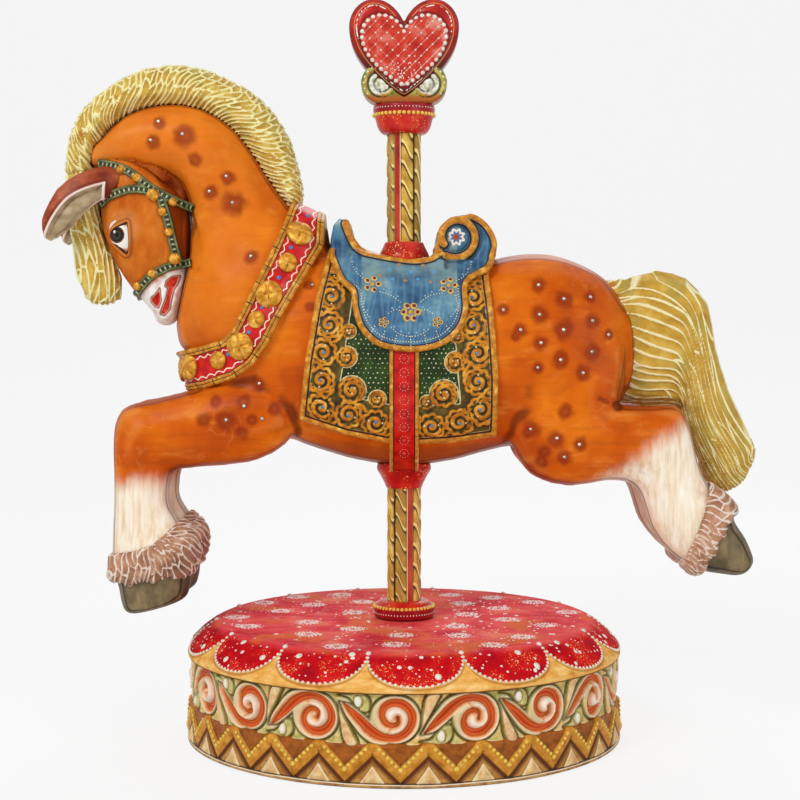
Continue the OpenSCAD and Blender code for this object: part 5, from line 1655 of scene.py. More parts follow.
# Degrees of one third of the pole: a stripe, then two panels of rope with a groove between them
THIRD, STRIPE_HALF = 120, 12
PANELS = ((36.0, 24.0), (-34.0, 22.0))
STRIPE_R, PANEL_R, POLE_SIDES = 6.55, 5.9, 264
ROPE_PITCH, ROPE_LEAN = 8.2, 3.3


def rope_pole(name, node, z0, z1, stripe):
    """A carved pole: panels of rope between red stripes, three times round.

    stripe is the angle of one stripe's middle from the front.
    """
    sides = POLE_SIDES
    z = np.linspace(z0, z1, int((z1 - z0) / 0.34))[:, None]
    azimuth = np.arange(sides)[None, :] * TURN / sides
    local = (np.degrees(azimuth) + 90 - stripe) % THIRD
    local = np.where(local > THIRD / 2, local - THIRD, local)
    first = (local > STRIPE_HALF) & (local <= THIRD / 2)
    middle, half = (np.where(first, a, b) for a, b in zip(*PANELS))
    across = np.clip((local - middle) / half, -1, 1)
    in_stripe = np.abs(local) <= STRIPE_HALF
    tilt = ROPE_LEAN * (across + 0.32 * np.sin(math.pi * across))
    phase = (z + tilt) / ROPE_PITCH + np.where(first, 0.0, 0.45)
    pad = unit(1 - np.abs((phase % 1.0) * 2 - 1) ** 2.4) ** 0.55
    rise = (1 - np.abs(across) ** 4) ** 0.5
    on_stripe = STRIPE_R + 0.25 * unit((STRIPE_HALF - np.abs(local)) / 3)
    r = np.where(in_stripe, on_stripe, PANEL_R + 0.35 * rise + 0.95 * pad * rise)
    cap = np.full((1, sides), 0.6)
    verts, faces = around(np.concatenate([cap, r, cap]), capped(z + 0 * r))
    fields = {
        "pad": np.where(in_stripe, 0, pad * rise), "stripe": STRIPE_HALF - np.abs(local) + 0 * z,
        "second": np.where(first, 0.0, 1.0) + 0 * z, "side": (phase % 1.0) + 0 * z,
    }
    obj = mesh_object(name, verts, faces, {key: capped(values) for key, values in fields.items()})
    finished(obj, ROPE, replaced=(node,))


def rope_finish():
    """Gold rope between red stripes with pale edges, with painted shade in the hollows between its pads and
    on every second panel, and a painted highlight along one edge of each pad.
    """
    f = Finish("rope_paint", 0.33, coat=0.105)
    pad, tone = f.field("pad"), f.noise(4, 4.0, 0.6, (1, 1, 0.5))
    gold = f.tones(tone, "#a9772a", "#cf9f3a", "#ecd06c")
    # Painted shade: every second panel of rope is darker
    gold = f.mix("second", gold, "#8a6a2c", 0.45)
    # Painted shade in the hollows between the pads
    colour = f.mix(f.step(pad, 0.75, 0.35), gold, "#7d5a26")
    colour = f.mix(f.step(pad, 0.45, 0.12), colour, "#3d2a12")
    # Painted highlight along one edge of each pad
    edge = f.band("side", 0.16, 0.05, 0.06)
    colour = f.mix(f.both(edge, f.step(pad, 0.3, 0.5)), colour, "#f7e48f")
    red = f.tones(f.noise(6, 3.0, 0.6, (1, 1, 0.3)), "#8f1a12", "#b8301f", "#cf5238")
    stripe = f.field("stripe")
    colour = f.coats(colour, [
        (f.step(stripe, -0.3, 0.3), "#ead8a6"),
        (f.step(stripe, 2.2, 2.9), red),
    ])
    return f.done(colour, f.noise(1.4), 0.1, 0.5)


ROPE = rope_finish()
rope_pole("lower_rope", "lower_pole", 55.1 - 0.6, 101.1 + 0.8, 22)
rope_pole("upper_rope", "upper_pole", 201.8 - 1.2, 245.3 + 0.5, -24)


def red_turning(name, band=None):
    """Red paint on a turned piece, with gold specks; between the two heights of band it is crimson."""
    f = Finish(name, 0.3, coat=0.135)
    colour = f.tones(f.noise(8), "#a8120f", "#cc1f19", "#e04a28")
    speck = f.cells(1.1)
    colour = f.mix(f.both(f.step(speck, 0.30, 0.16), f.step(f.noise(5), 0.42, 0.58)), colour, "#f2c560")
    if band:
        height = f.add("SeparateXYZ", f.coords, out="Z")
        low, high = band
        inside_band = f.both(
            f.step(height, (low - 0.15) * MM, low * MM), f.step(height, (high + 0.15) * MM, high * MM),
        )
        crimson = f.ramp(f.noise(4), (0.3, "#7f0a15"), (0.6, "#a3141e"), (0.75, "#c5303a"))
        colour = f.mix(inside_band, colour, crimson)
    return f.done(colour, f.noise(1.5), 0.08, 0.4)


def turned_piece(name, node, finish, voxel=0.45, smoothing=8):
    """A turned piece with softened edges."""
    obj = skin(name, voxel, smoothing, node)
    add_fields(obj, hollow=hollowness(obj, 3, 0.12))
    finished(obj, finish, replaced=(node,))


def ways_out(angle):
    """Level directions away from the pole."""
    return np.stack([np.cos(angle), np.sin(angle), 0 * angle], -1)


def ring(radius, z, number):
    """Places round the pole and their ways out."""
    out = ways_out(np.arange(number) * TURN / number)
    return out * radius + [0, 0, z], out


turned_piece("belly_cup_skin", "belly_cup", red_turning("cup_red"))
turned_piece("saddle_cup_skin", "saddle_cup", red_turning("saddle_cup_red"))
turned_piece("base_collar_skin", "base_collar", red_turning("base_collar_red", (40, 51.9)), 0.4, 5)
turned_piece("finial_collar_skin", "finial_collar", red_turning("finial_collar_red", (253.9, 260)), 0.4, 5)
places, facings = ring(12.15, 52.5, 46)
dots("base_collar_beads", places, facings, 1.5, DOME, YELLOW_DOT)
places, facings = ring(12.15, 253.1, 40)
dots("finial_collar_beads", places, facings, 1.7, DOME, YELLOW_DOT)
for name, radius, z, number in (
    ("base_collar_fine_beads", 12.55, 50.0, 60), ("finial_collar_fine_beads", 12.55, 255.6, 54),
):
    places, facings = ring(radius, z, number)
    dots(name, places, facings, 0.55, FLAT_DOT, WHITE_DOT, flat=0.5)

# ---- Heart and scrolls ----

HEART_Z, HEART_W, HEART_H, HEART_T = 258.5, 44.5, 41.0, 16.0
SCROLL_X, SCROLL_Z, SCROLL_R, SCROLL_T = 9.3, 257.3, 8.1, 14.4


def heart_outline():
    """The heart from the front, clockwise from its cleft."""
    a = np.arange(160) * TURN / 160
    s, c = np.sin(a), np.cos(a)
    x = np.sign(s) * np.abs(s) ** np.where(c > 0, 2.6, 1.5) * HEART_W / 2
    z = HEART_Z + (13 * c - 5 * np.cos(2 * a) - 2 * np.cos(3 * a) - np.cos(4 * a) + 17) / 29 * HEART_H
    return np.stack([x, z], -1)


HEART = heart_outline()
# The raised heart inside the rim: its foot and its share of the width and the height
INNER_Z, INNER_W, INNER_H = 264.2, 0.775, 0.695
INNER_HEART = np.stack([HEART[:, 0] * INNER_W, INNER_Z + (HEART[:, 1] - HEART_Z) * INNER_H], -1)
HEART_DOME = 2.6


def heart_piece():
    """A domed heart with a rim, and a smaller latticed heart raised on both faces."""
    outline = HEART[::2]
    verts = np.concatenate([
        np.stack([outline[:, 0], np.full(len(outline), y), outline[:, 1]], -1)
        for y in (-HEART_T / 2 + HEART_DOME, HEART_T / 2 - HEART_DOME)
    ])
    mesh = bpy.data.meshes.new("heart")
    mesh.from_pydata((verts * MM).tolist(), [], slab_faces(len(outline)))
    obj = placed("heart_relief", mesh)
    remeshed(obj, 0.42, 6)
    verts, normals = points_of(obj), normals_of(obj)
    xz = verts[:, [0, 2]]
    depth, inner = depth_in(xz, HEART), depth_in(xz, INNER_HEART)
    front = np.abs(normals[:, 1]) > 0.5
    rise = HEART_DOME * unit(depth / 4.5) ** 0.6
    rise += 0.35 * ridge(np.abs(depth - 2.2), 0.7) - 0.3 * groove(np.abs(inner + 0.7), 0.9)
    rise += 0.9 * unit(inner / 1.2) * np.clip(
        1 - np.hypot(verts[:, 0] / 26, (verts[:, 2] - 283) / 20) ** 2, 0.2, 1,
    )
    lattice = np.minimum(
        np.abs(((verts[:, 0] + verts[:, 2]) / 4.6) % 1 - 0.5),
        np.abs(((verts[:, 0] - verts[:, 2]) / 4.6) % 1 - 0.5),
    ) * 4.6
    verts[:, 1] += np.sign(normals[:, 1]) * np.where(front, rise, 0)
    move_points(obj, verts)
    add_fields(
        obj, depth=depth, inner=inner, lattice=lattice, up=(verts[:, 2] - HEART_Z) / HEART_H,
        hollow=hollowness(obj, 3, 0.14),
    )
    return obj


def heart_finish():
    """Dark red, a gold line round the rim, painted shade at its outer edge and a rose lattice inside."""
    f = Finish("heart_red", 0.28, coat=0.15)
    red = f.tones(f.noise(7), "#8c100c", "#b41c14", "#cf3522")
    colour = f.mix(f.step("up", 0.62, 0.30), red, "#5a1414")
    colour = f.mix(f.band("depth", 2.2, 0.08, 0.14), colour, "#e0b060", 0.6)
    dash = f.both(f.band("depth", 3.1, 0.15, 0.15), f.step(f.noise(1.6), 0.5, 0.56))
    colour = f.coats(colour, [
        (dash, WHITE),
        # Painted shade at the rim's outer edge, where the dome turns away
        (f.band("depth", 0.35, 0.2, 0.3), "#7a1c12"),
    ])
    inner = f.field("inner")
    rose = f.ramp(f.noise(6), (0.3, "#b01c10"), (0.5, "#cf3c28"), (0.68, "#dd8a7a"))
    speck = f.step(f.cells(1.3), 0.28, 0.16)
    rose = f.coats(rose, [
        (speck, "#5a0f10", 0.6),
        (f.step("lattice", 0.24, 0.10), "#f3d9cf"),
    ])
    colour = f.coats(colour, [
        (f.step(inner, -0.3, 0.1), rose),
        (f.band(inner, -0.7, 0.3, 0.3), "#7c140e"),
    ])
    return f.done(colour, f.noise(1.5), 0.08, 0.4)


heart = finished(heart_piece(), heart_finish(), replaced=("heart",))
heart_surface = surface_tree(heart)


def face_dots(name, tree, xz, sizes, finish, flat=0.6, shape=DOME):
    """Dots on the front and the back of the finial."""
    places, facings = [], []
    sizes = np.broadcast_to(np.asarray(sizes, float), (len(xz),))
    for side in (-1, 1):
        for x, z in xz:
            hit = tree.ray_cast(Vector((x, side * 60.0, z)) * MM, Vector((0, -side, 0)))
            places.append(np.array(hit[0]) / MM if hit[0] else np.array([x, side * 6.0, z]))
            facings.append(np.array(hit[1]) if hit[0] else np.array([0, side, 0.0]))
    return dots(name, places, facings, np.concatenate([sizes, sizes]), shape, finish, flat=flat)


closed_inner = np.concatenate([INNER_HEART, INNER_HEART[:1]])
beads = path_places(closed_inner * [0.985, 1], 2.55)
beads[:, 1] = 278 + (beads[:, 1] - 278) * 0.98
face_dots("heart_beads", heart_surface, beads, 1.9, WHITE_DOT)
nodes = np.array([(2.3 * (i + j), 278.3 + 2.3 * (i - j)) for i in range(-6, 7) for j in range(-6, 7)])
nodes = nodes[depth_in(nodes, INNER_HEART) > 2.2]
face_dots("heart_lattice_dots", heart_surface, nodes, 0.8, WHITE_DOT, 0.4, FLAT_DOT)
tip = np.stack([random.normal(0, 4.4, 70), random.normal(269, 3.0, 70)], -1)
tip = tip[depth_in(tip, INNER_HEART) > 1.6]
face_dots(
    "heart_tip_dots", heart_surface, tip, random.uniform(0.35, 0.75, len(tip)), WHITE_DOT,
    0.4, FLAT_DOT,
)


def scrolls_piece():
    """Two volutes side by side on the collar, carved on both faces."""
    outline = [
        (SCROLL_X + SCROLL_R * math.cos(a), SCROLL_Z + SCROLL_R + SCROLL_R * math.sin(a))
        for a in (TURN * k / 60 for k in range(60))
    ]
    y = SCROLL_T / 2 - 0.6
    halves = []
    for s in (-1, 1):
        o = np.array(outline) * [s, 1] - [0, HORSE_Z]
        halves.append(prism(o, -y, y))
    block = [(-7, SCROLL_Z + 0.2), (7, SCROLL_Z + 0.2), (5, SCROLL_Z + 11), (-5, SCROLL_Z + 11)]
    halves.append(prism(np.array(block) - [0, HORSE_Z], -y, y))
    obj = remeshed(merged(*halves), 0.42, 5)
    obj.name = "scrolls_relief"
    verts, normals = points_of(obj), normals_of(obj)
    u, v = np.abs(verts[:, 0]) - SCROLL_X, verts[:, 2] - SCROLL_Z - SCROLL_R
    r, a = np.hypot(u, v), np.arctan2(v, u)
    front = unit(np.abs(normals[:, 1]) * 3 - 1.5)
    # The band winds in from the foot of the stem to the eye
    turnin = (a + math.pi / 2) % TURN / TURN
    coil = r - (6.9 - 2.2 * turnin)
    band = np.exp(-(coil / 0.9) ** 2)
    inner_coil = np.exp(-((r - (4.7 - 2.4 * turnin)) / 0.7) ** 2) * (r < 5.2)
    boss = unit(1 - (r / 2.4) ** 2)
    rise = 0.9 * band + 0.7 * inner_coil + 1.0 * boss - 0.5 * (r < 6)
    verts[:, 1] += np.sign(normals[:, 1]) * rise * front
    move_points(obj, verts)
    add_fields(obj, band=band, radius=r, low=verts[:, 2] - SCROLL_Z, hollow=hollowness(obj, 3, 0.14))
    f = Finish("scroll_paint", 0.36, coat=0.09)
    green = f.tones(f.noise(4), "#56672a", "#7f8f3a", "#b0b45c")
    pale = f.ramp(f.noise(1.6), (0.35, "#aeb07c"), (0.5, "#dfe0cf"), (0.65, "#f6f4ea"))
    colour = f.mix(f.step("radius", 4.6, 5.4), pale, green)
    gold = f.ramp(f.noise(3), (0.3, "#a57a2c"), (0.6, "#d8bc62"))
    colour = f.coats(colour, [
        (f.step("band", 0.55, 0.85), gold),
        (f.step("low", 4.5, 2.0), "#b3652a"),
        # Painted shade in the hollows
        (f.step("hollow", 0.1, 0.8), "#3c3412", 0.85),
    ])
    f.done(colour, f.noise(1.2), 0.1, 0.4)
    return finished(obj, f.material, replaced=("finial_scrolls",))


scrolls = scrolls_piece()
scroll_surface = surface_tree(scrolls)
arc = np.radians(np.linspace(-38, 118, 9))
bead_xz = np.concatenate([
    np.stack([s * (SCROLL_X + 7.0 * np.cos(arc)), SCROLL_Z + SCROLL_R + 7.0 * np.sin(arc)], -1)
    for s in (-1, 1)
])
face_dots(
    "scroll_beads", scroll_surface, bead_xz, np.tile(np.linspace(0.8, 1.5, 9), 2), WHITE_DOT,
)


# ---- Base ----

PLINTH_TOP, FRIEZE_TOP = 16.0, 34.5
FRIEZE_R, FRIEZE_INNER_R, FRIEZE_MIDDLE_R = 85.2, 76.0, 87.5
PLINTH_R, PLINTH_INNER_R = 87.4, 79.8
FRIEZE_PERIODS, VEES, SCALLOPS = 9, 27, 14
# Angles that the rows of ornament start from
FRIEZE_START, PLINTH_START = math.radians(-2.3), math.radians(-4.3)
# One volute: the red channel as (across, up, half width), then the outlines of the forms round it
CHANNEL = spline(
    [
        (-19.5, -5.5, 0.3), (-16.5, -2.6, 1.0), (-13, 0.8, 1.5), (-9, 4.6, 1.6), (-4.8, 7.0, 1.35),
        (0, 7.3, 1.2), (4.0, 5.3, 1.25), (6.2, 1.4, 1.35), (5.9, -2.5, 1.4), (2.9, -5.6, 1.45),
        (-1.0, -6.1, 1.4), (-3.9, -4.4, 1.2), (-4.8, -1.4, 1.0), (-3.6, 1.4, 0.9), (-1.2, 2.6, 0.8),
        (1.1, 1.6, 0.7), (1.0, -0.7, 0.4),
    ],
    6,
)
DISC = [(9.75 * math.cos(a), 9.75 * math.sin(a)) for a in np.arange(32) * TURN / 32]
SHOULDER = spline(
    [
        (-21, -6.2), (-19, -1.5), (-15.8, 3), (-12.8, 6.8), (-8.5, 9.7), (-3, 10), (0, 6), (-8, 1.2),
        (-12, -2.2), (-16, -5.2), (-21, -6.2),
    ],
    4,
)
CURL = spline(
    [
        (-21.5, -8.8), (-17.5, -7.6), (-15.2, -5.0), (-12.5, -2.4), (-9.6, -2.6), (-8.8, -5.5),
        (-9.8, -8.6), (-12.6, -10.2), (-16.5, -10), (-21.5, -8.8),
    ],
    4,
)
PETAL = spline(
    [
        (9.2, 6.0), (11.2, 2.2), (13.4, -1.8), (15.6, -6), (17.0, -9.4), (15.3, -11.2), (12.8, -10.8),
        (11, -8.2), (10.1, -4.0), (9.5, 0.5), (9.2, 6.0),
    ],
    4,
)


def volute(points):
    """Height of one volute with its leaf, petal and curl, and the zones that its paint follows."""
    distance, run, _ = to_path(points, CHANNEL)
    gap = distance - 1.1 * np.interp(run, run_of(CHANNEL[:, :2]), CHANNEL[:, 2])
    disc, shoulder, curl, petal = (depth_in(points, outline) for outline in (DISC, SHOULDER, CURL, PETAL))
    drop = 1 - np.hypot((points[:, 0] + 13.6) / 1.5, (points[:, 1] + 6.6) / 2.3)
    coil = unit(depth_in(points, CHANNEL[24:, :2]) / 3.2)
    swell = 1 - 0.16 * unit(np.hypot(points[:, 0], points[:, 1]) / 9)
    round_drop = 0.7 * groove(np.abs(drop + 0.15), 0.3) * (curl > 0.5)
    height = np.maximum.reduce([
        3.4 * dome(np.minimum(disc, gap), 2.9) * swell,
        2.9 * dome(np.minimum(shoulder, gap), 2.2),
        2.3 * dome(curl, 1.8) - round_drop + 0.7 * dome(drop, 0.8),
        3.1 * dome(petal, 1.9),
    ])
    inside_any = np.maximum.reduce([disc, shoulder, curl, petal])
    return dict(
        height=height, body=np.clip(inside_any, -2, 3),
        gap=np.clip(gap, -1.6, 6) * (inside_any > -1) + 6 * (inside_any <= -1), coil=coil,
        petal=unit(petal / 0.5), curl=unit(curl / 0.6) * (disc < 0), drop=unit(drop / 0.25),
    )


def frieze_piece():
    """The carved band: volutes that turn over and under by turns."""
    cols, rows = 156, 58
    period = TURN * FRIEZE_MIDDLE_R / FRIEZE_PERIODS
    z = np.linspace(PLINTH_TOP - 0.6, FRIEZE_TOP + 0.6, rows)
    u, v = np.meshgrid((np.arange(cols) / cols - 0.5) * period, (z - (PLINTH_TOP + FRIEZE_TOP) / 2) * 1.05)
    best = None
    for shift, flip in ((-period / 4, 1), (period / 4, -1)):
        for lap in (-period, 0, period):
            here = volute(np.stack([(u - shift - lap).ravel(), (v * flip).ravel()], -1))
            if best is None:
                best = here
                continue
            higher = here["height"] > best["height"]
            for key in ("petal", "curl", "drop"):
                best[key] = np.where(higher, here[key], best[key])
            for key in ("height", "body", "coil"):
                best[key] = np.maximum(best[key], here[key])
            best["gap"] = np.minimum(best["gap"], here["gap"])
    fields = {k: np.tile(f.reshape(u.shape), (1, FRIEZE_PERIODS)) for k, f in best.items()}
    sides = cols * FRIEZE_PERIODS
    ground = 1.9 * dome(-fields["body"] - 0.1, 1.6) * (fields["gap"] > 0.3)
    radius = FRIEZE_R + np.maximum(fields["height"], ground) * 0.93
    level = np.repeat(z[:, None], sides, 1)
    inner = np.full((1, sides), FRIEZE_INNER_R)
    verts, faces = around(np.concatenate([inner, radius, inner]), capped(level), FRIEZE_START)
    obj = mesh_object("frieze_relief", verts, faces, {k: capped(f) for k, f in fields.items()})
    add_fields(obj, hollow=hollowness(obj, 3, 0.16))
    return obj


def frieze_finish():
    """Pale volutes with red channels on an olive and ochre ground, with painted shade in the hollows and
    the middle of each channel, and painted highlight on the ridges.
    """
    f = Finish("frieze_paint", 0.45, coat=0.03)
    brush, wide = f.noise(3.5, 4.0, 0.6), f.noise(9, 3.0)
    gap = f.shaken("gap", brush, 1.2)
    olive = f.tones(brush, "#9e9844", "#c4b866", "#e0d290")
    ochre = f.tones(brush, "#c8963e", "#e8ba68", "#f8dc9c")
    colour = f.mix(f.step(wide, 0.42, 0.6), olive, ochre)
    colour = f.coats(colour, [
        (f.step(gap, 3.0, 1.6), "#d9c795"),
        (f.step(gap, 1.7, 0.5), "#f0cfa4"),
        (f.step(gap, 0.6, 0.0), "#ee9052"),
    ])
    peach = f.tones(brush, "#c8925a", "#e8bd84", "#f3d9ab")
    colour = f.coats(colour, [
        ("petal", f.mix(f.step("body", 1.4, 0.4), peach, ochre)),
        ("curl", olive, 0.8),
        ("drop", "#f3ecdc"),
    ])
    coil = f.ramp(
        f.shaken("coil", brush, 0.3),
        (0.12, "#e0833f"), (0.4, "#edbb90"), (0.68, "#f5e0cc"), (0.95, "#faf2e6"),
    )
    colour = f.coats(colour, [
        (f.step("coil", 0.02, 0.14), coil),
        (f.band("body", 0.1, 0.25, 0.7), "#6b6a34", 0.75),
    ])
    # The red channels go darker towards their deep middle: painted shade
    red = f.mix(f.step("gap", -1.5, -0.5), "#b93a10", "#f0702a")
    colour = f.coats(colour, [
        (f.step("gap", 0.15, -0.2), red),
        # Painted shade in the hollows and painted highlight on the ridges
        (f.step("hollow", 0.2, 1.0), "#6a4016", 0.5),
        (f.step("hollow", -0.3, -0.95), "#fff2d2", 0.25),
    ])
    return f.done(colour, brush, 0.12, 0.4)


finished(frieze_piece(), frieze_finish(), "base", ("base_frieze",))


# The vees: height of their feet, rise for each millimetre across, what of that lies square to the arm,
# and the radius at which they are measured
VEE_Z, VEE_RISE, VEE_SQUARE, VEE_R = 7, 0.95, 0.725, 89


def plinth_piece():
    """The foot: raised vees, cuts under them that the finish paints dark as their shadow, and pale pyramids
    between.
    """
    per, rows = 48, 52
    sides = per * VEES
    z = np.linspace(0.5, PLINTH_TOP + 0.4, rows)[:, None]
    c = TURN * VEE_R / VEES
    u = ((np.arange(sides) % per) / per - 0.5)[None, :] * c
    away = (z - VEE_Z - VEE_RISE * np.abs(u)) * VEE_SQUARE
    vee = np.clip(np.minimum(1.0 - away, away + 3.1), 0, 1.2) / 1.2
    cut = unit(1 - np.abs(away + 4.2) / 1.1)
    side = c / 2 - np.abs(u)
    pyramid = np.clip(np.minimum(4.7 - side - (z - 2) * 0.74, (z - 1.7) * 1.4), 0, 3)
    height = np.maximum(1.5 * vee ** 0.7, 0.95 * pyramid ** 0.9)
    height = height + 0.35 * (away < -3.1) - 1.0 * cut * (pyramid < 0.1)
    foot = unit((1.9 - z) / 0.4) + 0 * u
    height = np.where(foot > 0, 1.0, height) - 0.5 * unit(1 - np.abs(z - 1.9) / 0.4)
    r = PLINTH_R + 0.8 * (1 - z / PLINTH_TOP) + 0.6 * height - unit((z - 15.6) / 0.8) * 1.2
    cap = np.full((1, sides), PLINTH_INNER_R)
    level = z + 0 * u
    verts, faces = around(np.concatenate([cap, r, cap]), capped(level), PLINTH_START)
    fields = {"away": np.clip(away, -9, 9), "pyramid": pyramid, "foot": foot, "height": level}
    obj = mesh_object("plinth_relief", verts, faces, {k: capped(f + 0 * level) for k, f in fields.items()})
    add_fields(obj, hollow=hollowness(obj, 3, 0.16))
    return obj


def plinth_finish():
    """Ochre vees over brown wood, with cream pyramids between them, a painted shadow under each vee and
    painted shade in the hollows.
    """
    f = Finish("plinth_paint", 0.48, coat=0.024)
    brush = f.noise(3.5, 4.0, 0.6)
    away, pyramid = f.field("away"), f.field("pyramid")
    ochre = f.tones(brush, "#aa6c1c", "#d08c2c", "#e6a848")
    colour = f.ramp(brush, (0.3, "#7c4415"), (0.55, "#9a5c22"), (0.7, "#b87a34"))
    # Painted shadow: dark just under the vees, fading to brown farther down
    colour = f.mix(
        f.step(away, -6.2, -4.4), f.mix(f.step(brush, 0.4, 0.6), "#a9712e", "#c59249"), "#6b370f",
    )
    colour = f.coats(colour, [
        (f.step(away, -3.6, -3.0), ochre),
        (f.step(away, 0.7, 1.1), f.ramp(brush, (0.35, "#7f420f"), (0.6, "#aa5f1c"))),
    ])
    cream = f.tones(brush, "#c9975a", "#e3bd80", "#f2dba9")
    colour = f.mix(f.step(pyramid, 0.03, 0.25), colour, f.mix(f.step(pyramid, 0.8, 0.3), cream, "#f4e2ba"))
    foot = f.ramp(f.noise(6, 3.0, 0.6, (1, 1, 0.2)), (0.35, "#8d6130"), (0.6, "#c79a5c"))
    colour = f.mix(f.step("foot", 0.2, 0.8), colour, foot)
    wave = f.shaken("height", f.noise(22), 0.8)
    colour = f.coats(colour, [
        (f.band(wave, 1.95, 0.08, 0.12), "#3b3328"),
        (f.band(wave, 1.5, 0.06, 0.15), "#efe6cf"),
        # Painted shade in the hollows
        (f.step("hollow", 0.1, 0.8), "#3a1c08", 0.75),
    ])
    return f.done(colour, brush, 0.15, 0.5)


finished(plinth_piece(), plinth_finish(), "base", ("base_plinth",))
# Beads down both arms of each vee: angle, height and width
BEAD_GAP = 2.15
bead = np.array([
    (
        (k + 0.5) * TURN / VEES + PLINTH_START + s * i * BEAD_GAP * VEE_SQUARE / VEE_R,
        VEE_Z + VEE_RISE * i * BEAD_GAP * VEE_SQUARE, 2.0 if i == 0 else 1.55,
    )
    for k in range(VEES) for i in range(6) for s in ((1,) if i == 0 else (-1, 1))
])
out = ways_out(bead[:, 0])
radius = 88.3 + 0.8 * (1 - bead[:, 1] / PLINTH_TOP)
dots(
    "plinth_beads", out * radius[:, None] + bead[:, 1:2] * [[0, 0, 1]], out, bead[:, 2], DOME, YELLOW_DOT,
    "base", flat=0.6,
)

# The top board: a sloping shoulder with scallops, and a flowered plane
RIM_R, TOP_R = 88.6, 76.1
RIM_Z, SHOULDER_H = 36.0, 11.5
PLANE_Z = RIM_Z + SHOULDER_H
SLOPE = np.radians(np.linspace(0, 90, 24))
SLOPE_R = RIM_R - (RIM_R - TOP_R) * (1 - np.cos(SLOPE) ** 1.6)
SLOPE_Z = RIM_Z + SHOULDER_H * np.sin(SLOPE) ** 1.6
SCALLOP_TURN = math.radians(-90 - 9.9 + 12.857)


def scallop_place(angle):
    """Where an angle lies across its scallop, from -1 to 1."""
    return ((angle - SCALLOP_TURN) / TURN * SCALLOPS + 0.5) % 1 * 2 - 1


def pillow(angle, z):
    """How far the shoulder stands out: each scallop swells a little between its cusps."""
    swell = np.sin(math.pi * unit((z - RIM_Z) / SHOULDER_H)) ** 0.7
    return 0.9 * (1 - np.abs(scallop_place(angle)) ** 3) * swell


def on_top(angle, z):
    """Places on the shoulder and the way that it faces there."""
    angle, z = np.broadcast_arrays(np.asarray(angle, float), np.asarray(z, float))
    r = np.interp(z, SLOPE_Z, SLOPE_R) + pillow(angle, z)
    lean = np.interp(z + 0.2, SLOPE_Z, SLOPE_R) - np.interp(z - 0.2, SLOPE_Z, SLOPE_R)
    out_, up_ = 0.4 / np.hypot(0.4, lean), -lean / np.hypot(0.4, lean)
    way = ways_out(angle)
    return way * r[:, None] + z[:, None] * [[0, 0, 1]], way * out_[:, None] + up_[:, None] * [[0, 0, 1]]


def scallop_edge(t):
    """Height of the scallops' lower edge; t runs from -1 to 1 across one of them."""
    return 47.2 - 9.8 * np.sqrt(unit(1 - np.abs(t) ** 2.1))


def top_piece():
    """The top board, closed round the hole for the pole."""
    sides = 700
    r = np.concatenate(
        [[4.2, 70.0, 87.0], [RIM_R - 0.2, RIM_R], SLOPE_R[1:], [74.0, 66, 57, 48, 39, 30, 21, 12, 4.2]]
    )
    z = np.concatenate([[41.6, 41.6, 34.5], [34.6, 35.2], SLOPE_Z[1:], np.full(9, PLANE_Z)])
    angle = np.arange(sides) * TURN / sides
    rr = r[:, None] + pillow(angle[None, :], z[:, None]) * (r[:, None] > TOP_R - 0.1)
    verts, faces = around(rr, z[:, None] + 0 * rr)
    flat = rr.ravel()
    edge = np.where(
        flat > TOP_R - 0.5, np.repeat(z, sides) - scallop_edge(scallop_place(np.tile(angle, len(r)))), 5.0,
    )
    return mesh_object(
        "top_board", verts, faces, {"edge": edge, "radius": flat, "height": np.repeat(z, sides)},
    )


def top_finish():
    """Rosy plane, crimson scallops and gold under them."""
    f = Finish("top_paint", 0.62, specular=0.05)
    blotch, brush = f.noise(22, 3.0, 0.55), f.noise(5, 4.0, 0.6)
    plane = f.ramp(blotch, (0.32, "#cc182c"), (0.45, "#e43a44"), (0.56, "#ee5854"), (0.68, "#f48468"))
    plane = f.coats(plane, [
        (f.step(brush, 0.5, 0.72), "#e58a8c", 0.45),
        (f.step(f.noise(26), 0.53, 0.62), "#e2702f", 0.7),
        (f.step(brush, 0.42, 0.25), "#a00c22", 0.5),
    ])
    scallop = f.tones(f.noise(9), "#9a0a20", "#cb1018", "#dd2622")
    speck = f.both(f.step(f.cells(0.9), 0.30, 0.15), f.step(f.noise(9), 0.5, 0.6))
    scallop = f.mix(speck, scallop, "#f1cf7a")
    radius = f.shaken("radius", brush, 4.0)
    colour = f.mix(f.step(radius, 76.0, 80.0), plane, scallop)
    gold = f.ramp(
        f.noise(7, 4.0, 0.6, (1, 1, 2.6)), (0.28, "#d48c34"), (0.45, "#eeae54"), (0.6, "#f8c674"),
        (0.75, "#ffe2a4"),
    )
    edge = f.field("edge")
    colour = f.coats(colour, [
        (f.step(edge, 0.15, -0.15), gold),
        (f.band(edge, -1.0, 0.2, 0.5), "#a9601a", 0.6),
        (f.step("height", 35.3, 34.8), "#6e4a18"),
    ])
    return f.done(colour, brush, 0.12, 0.4)


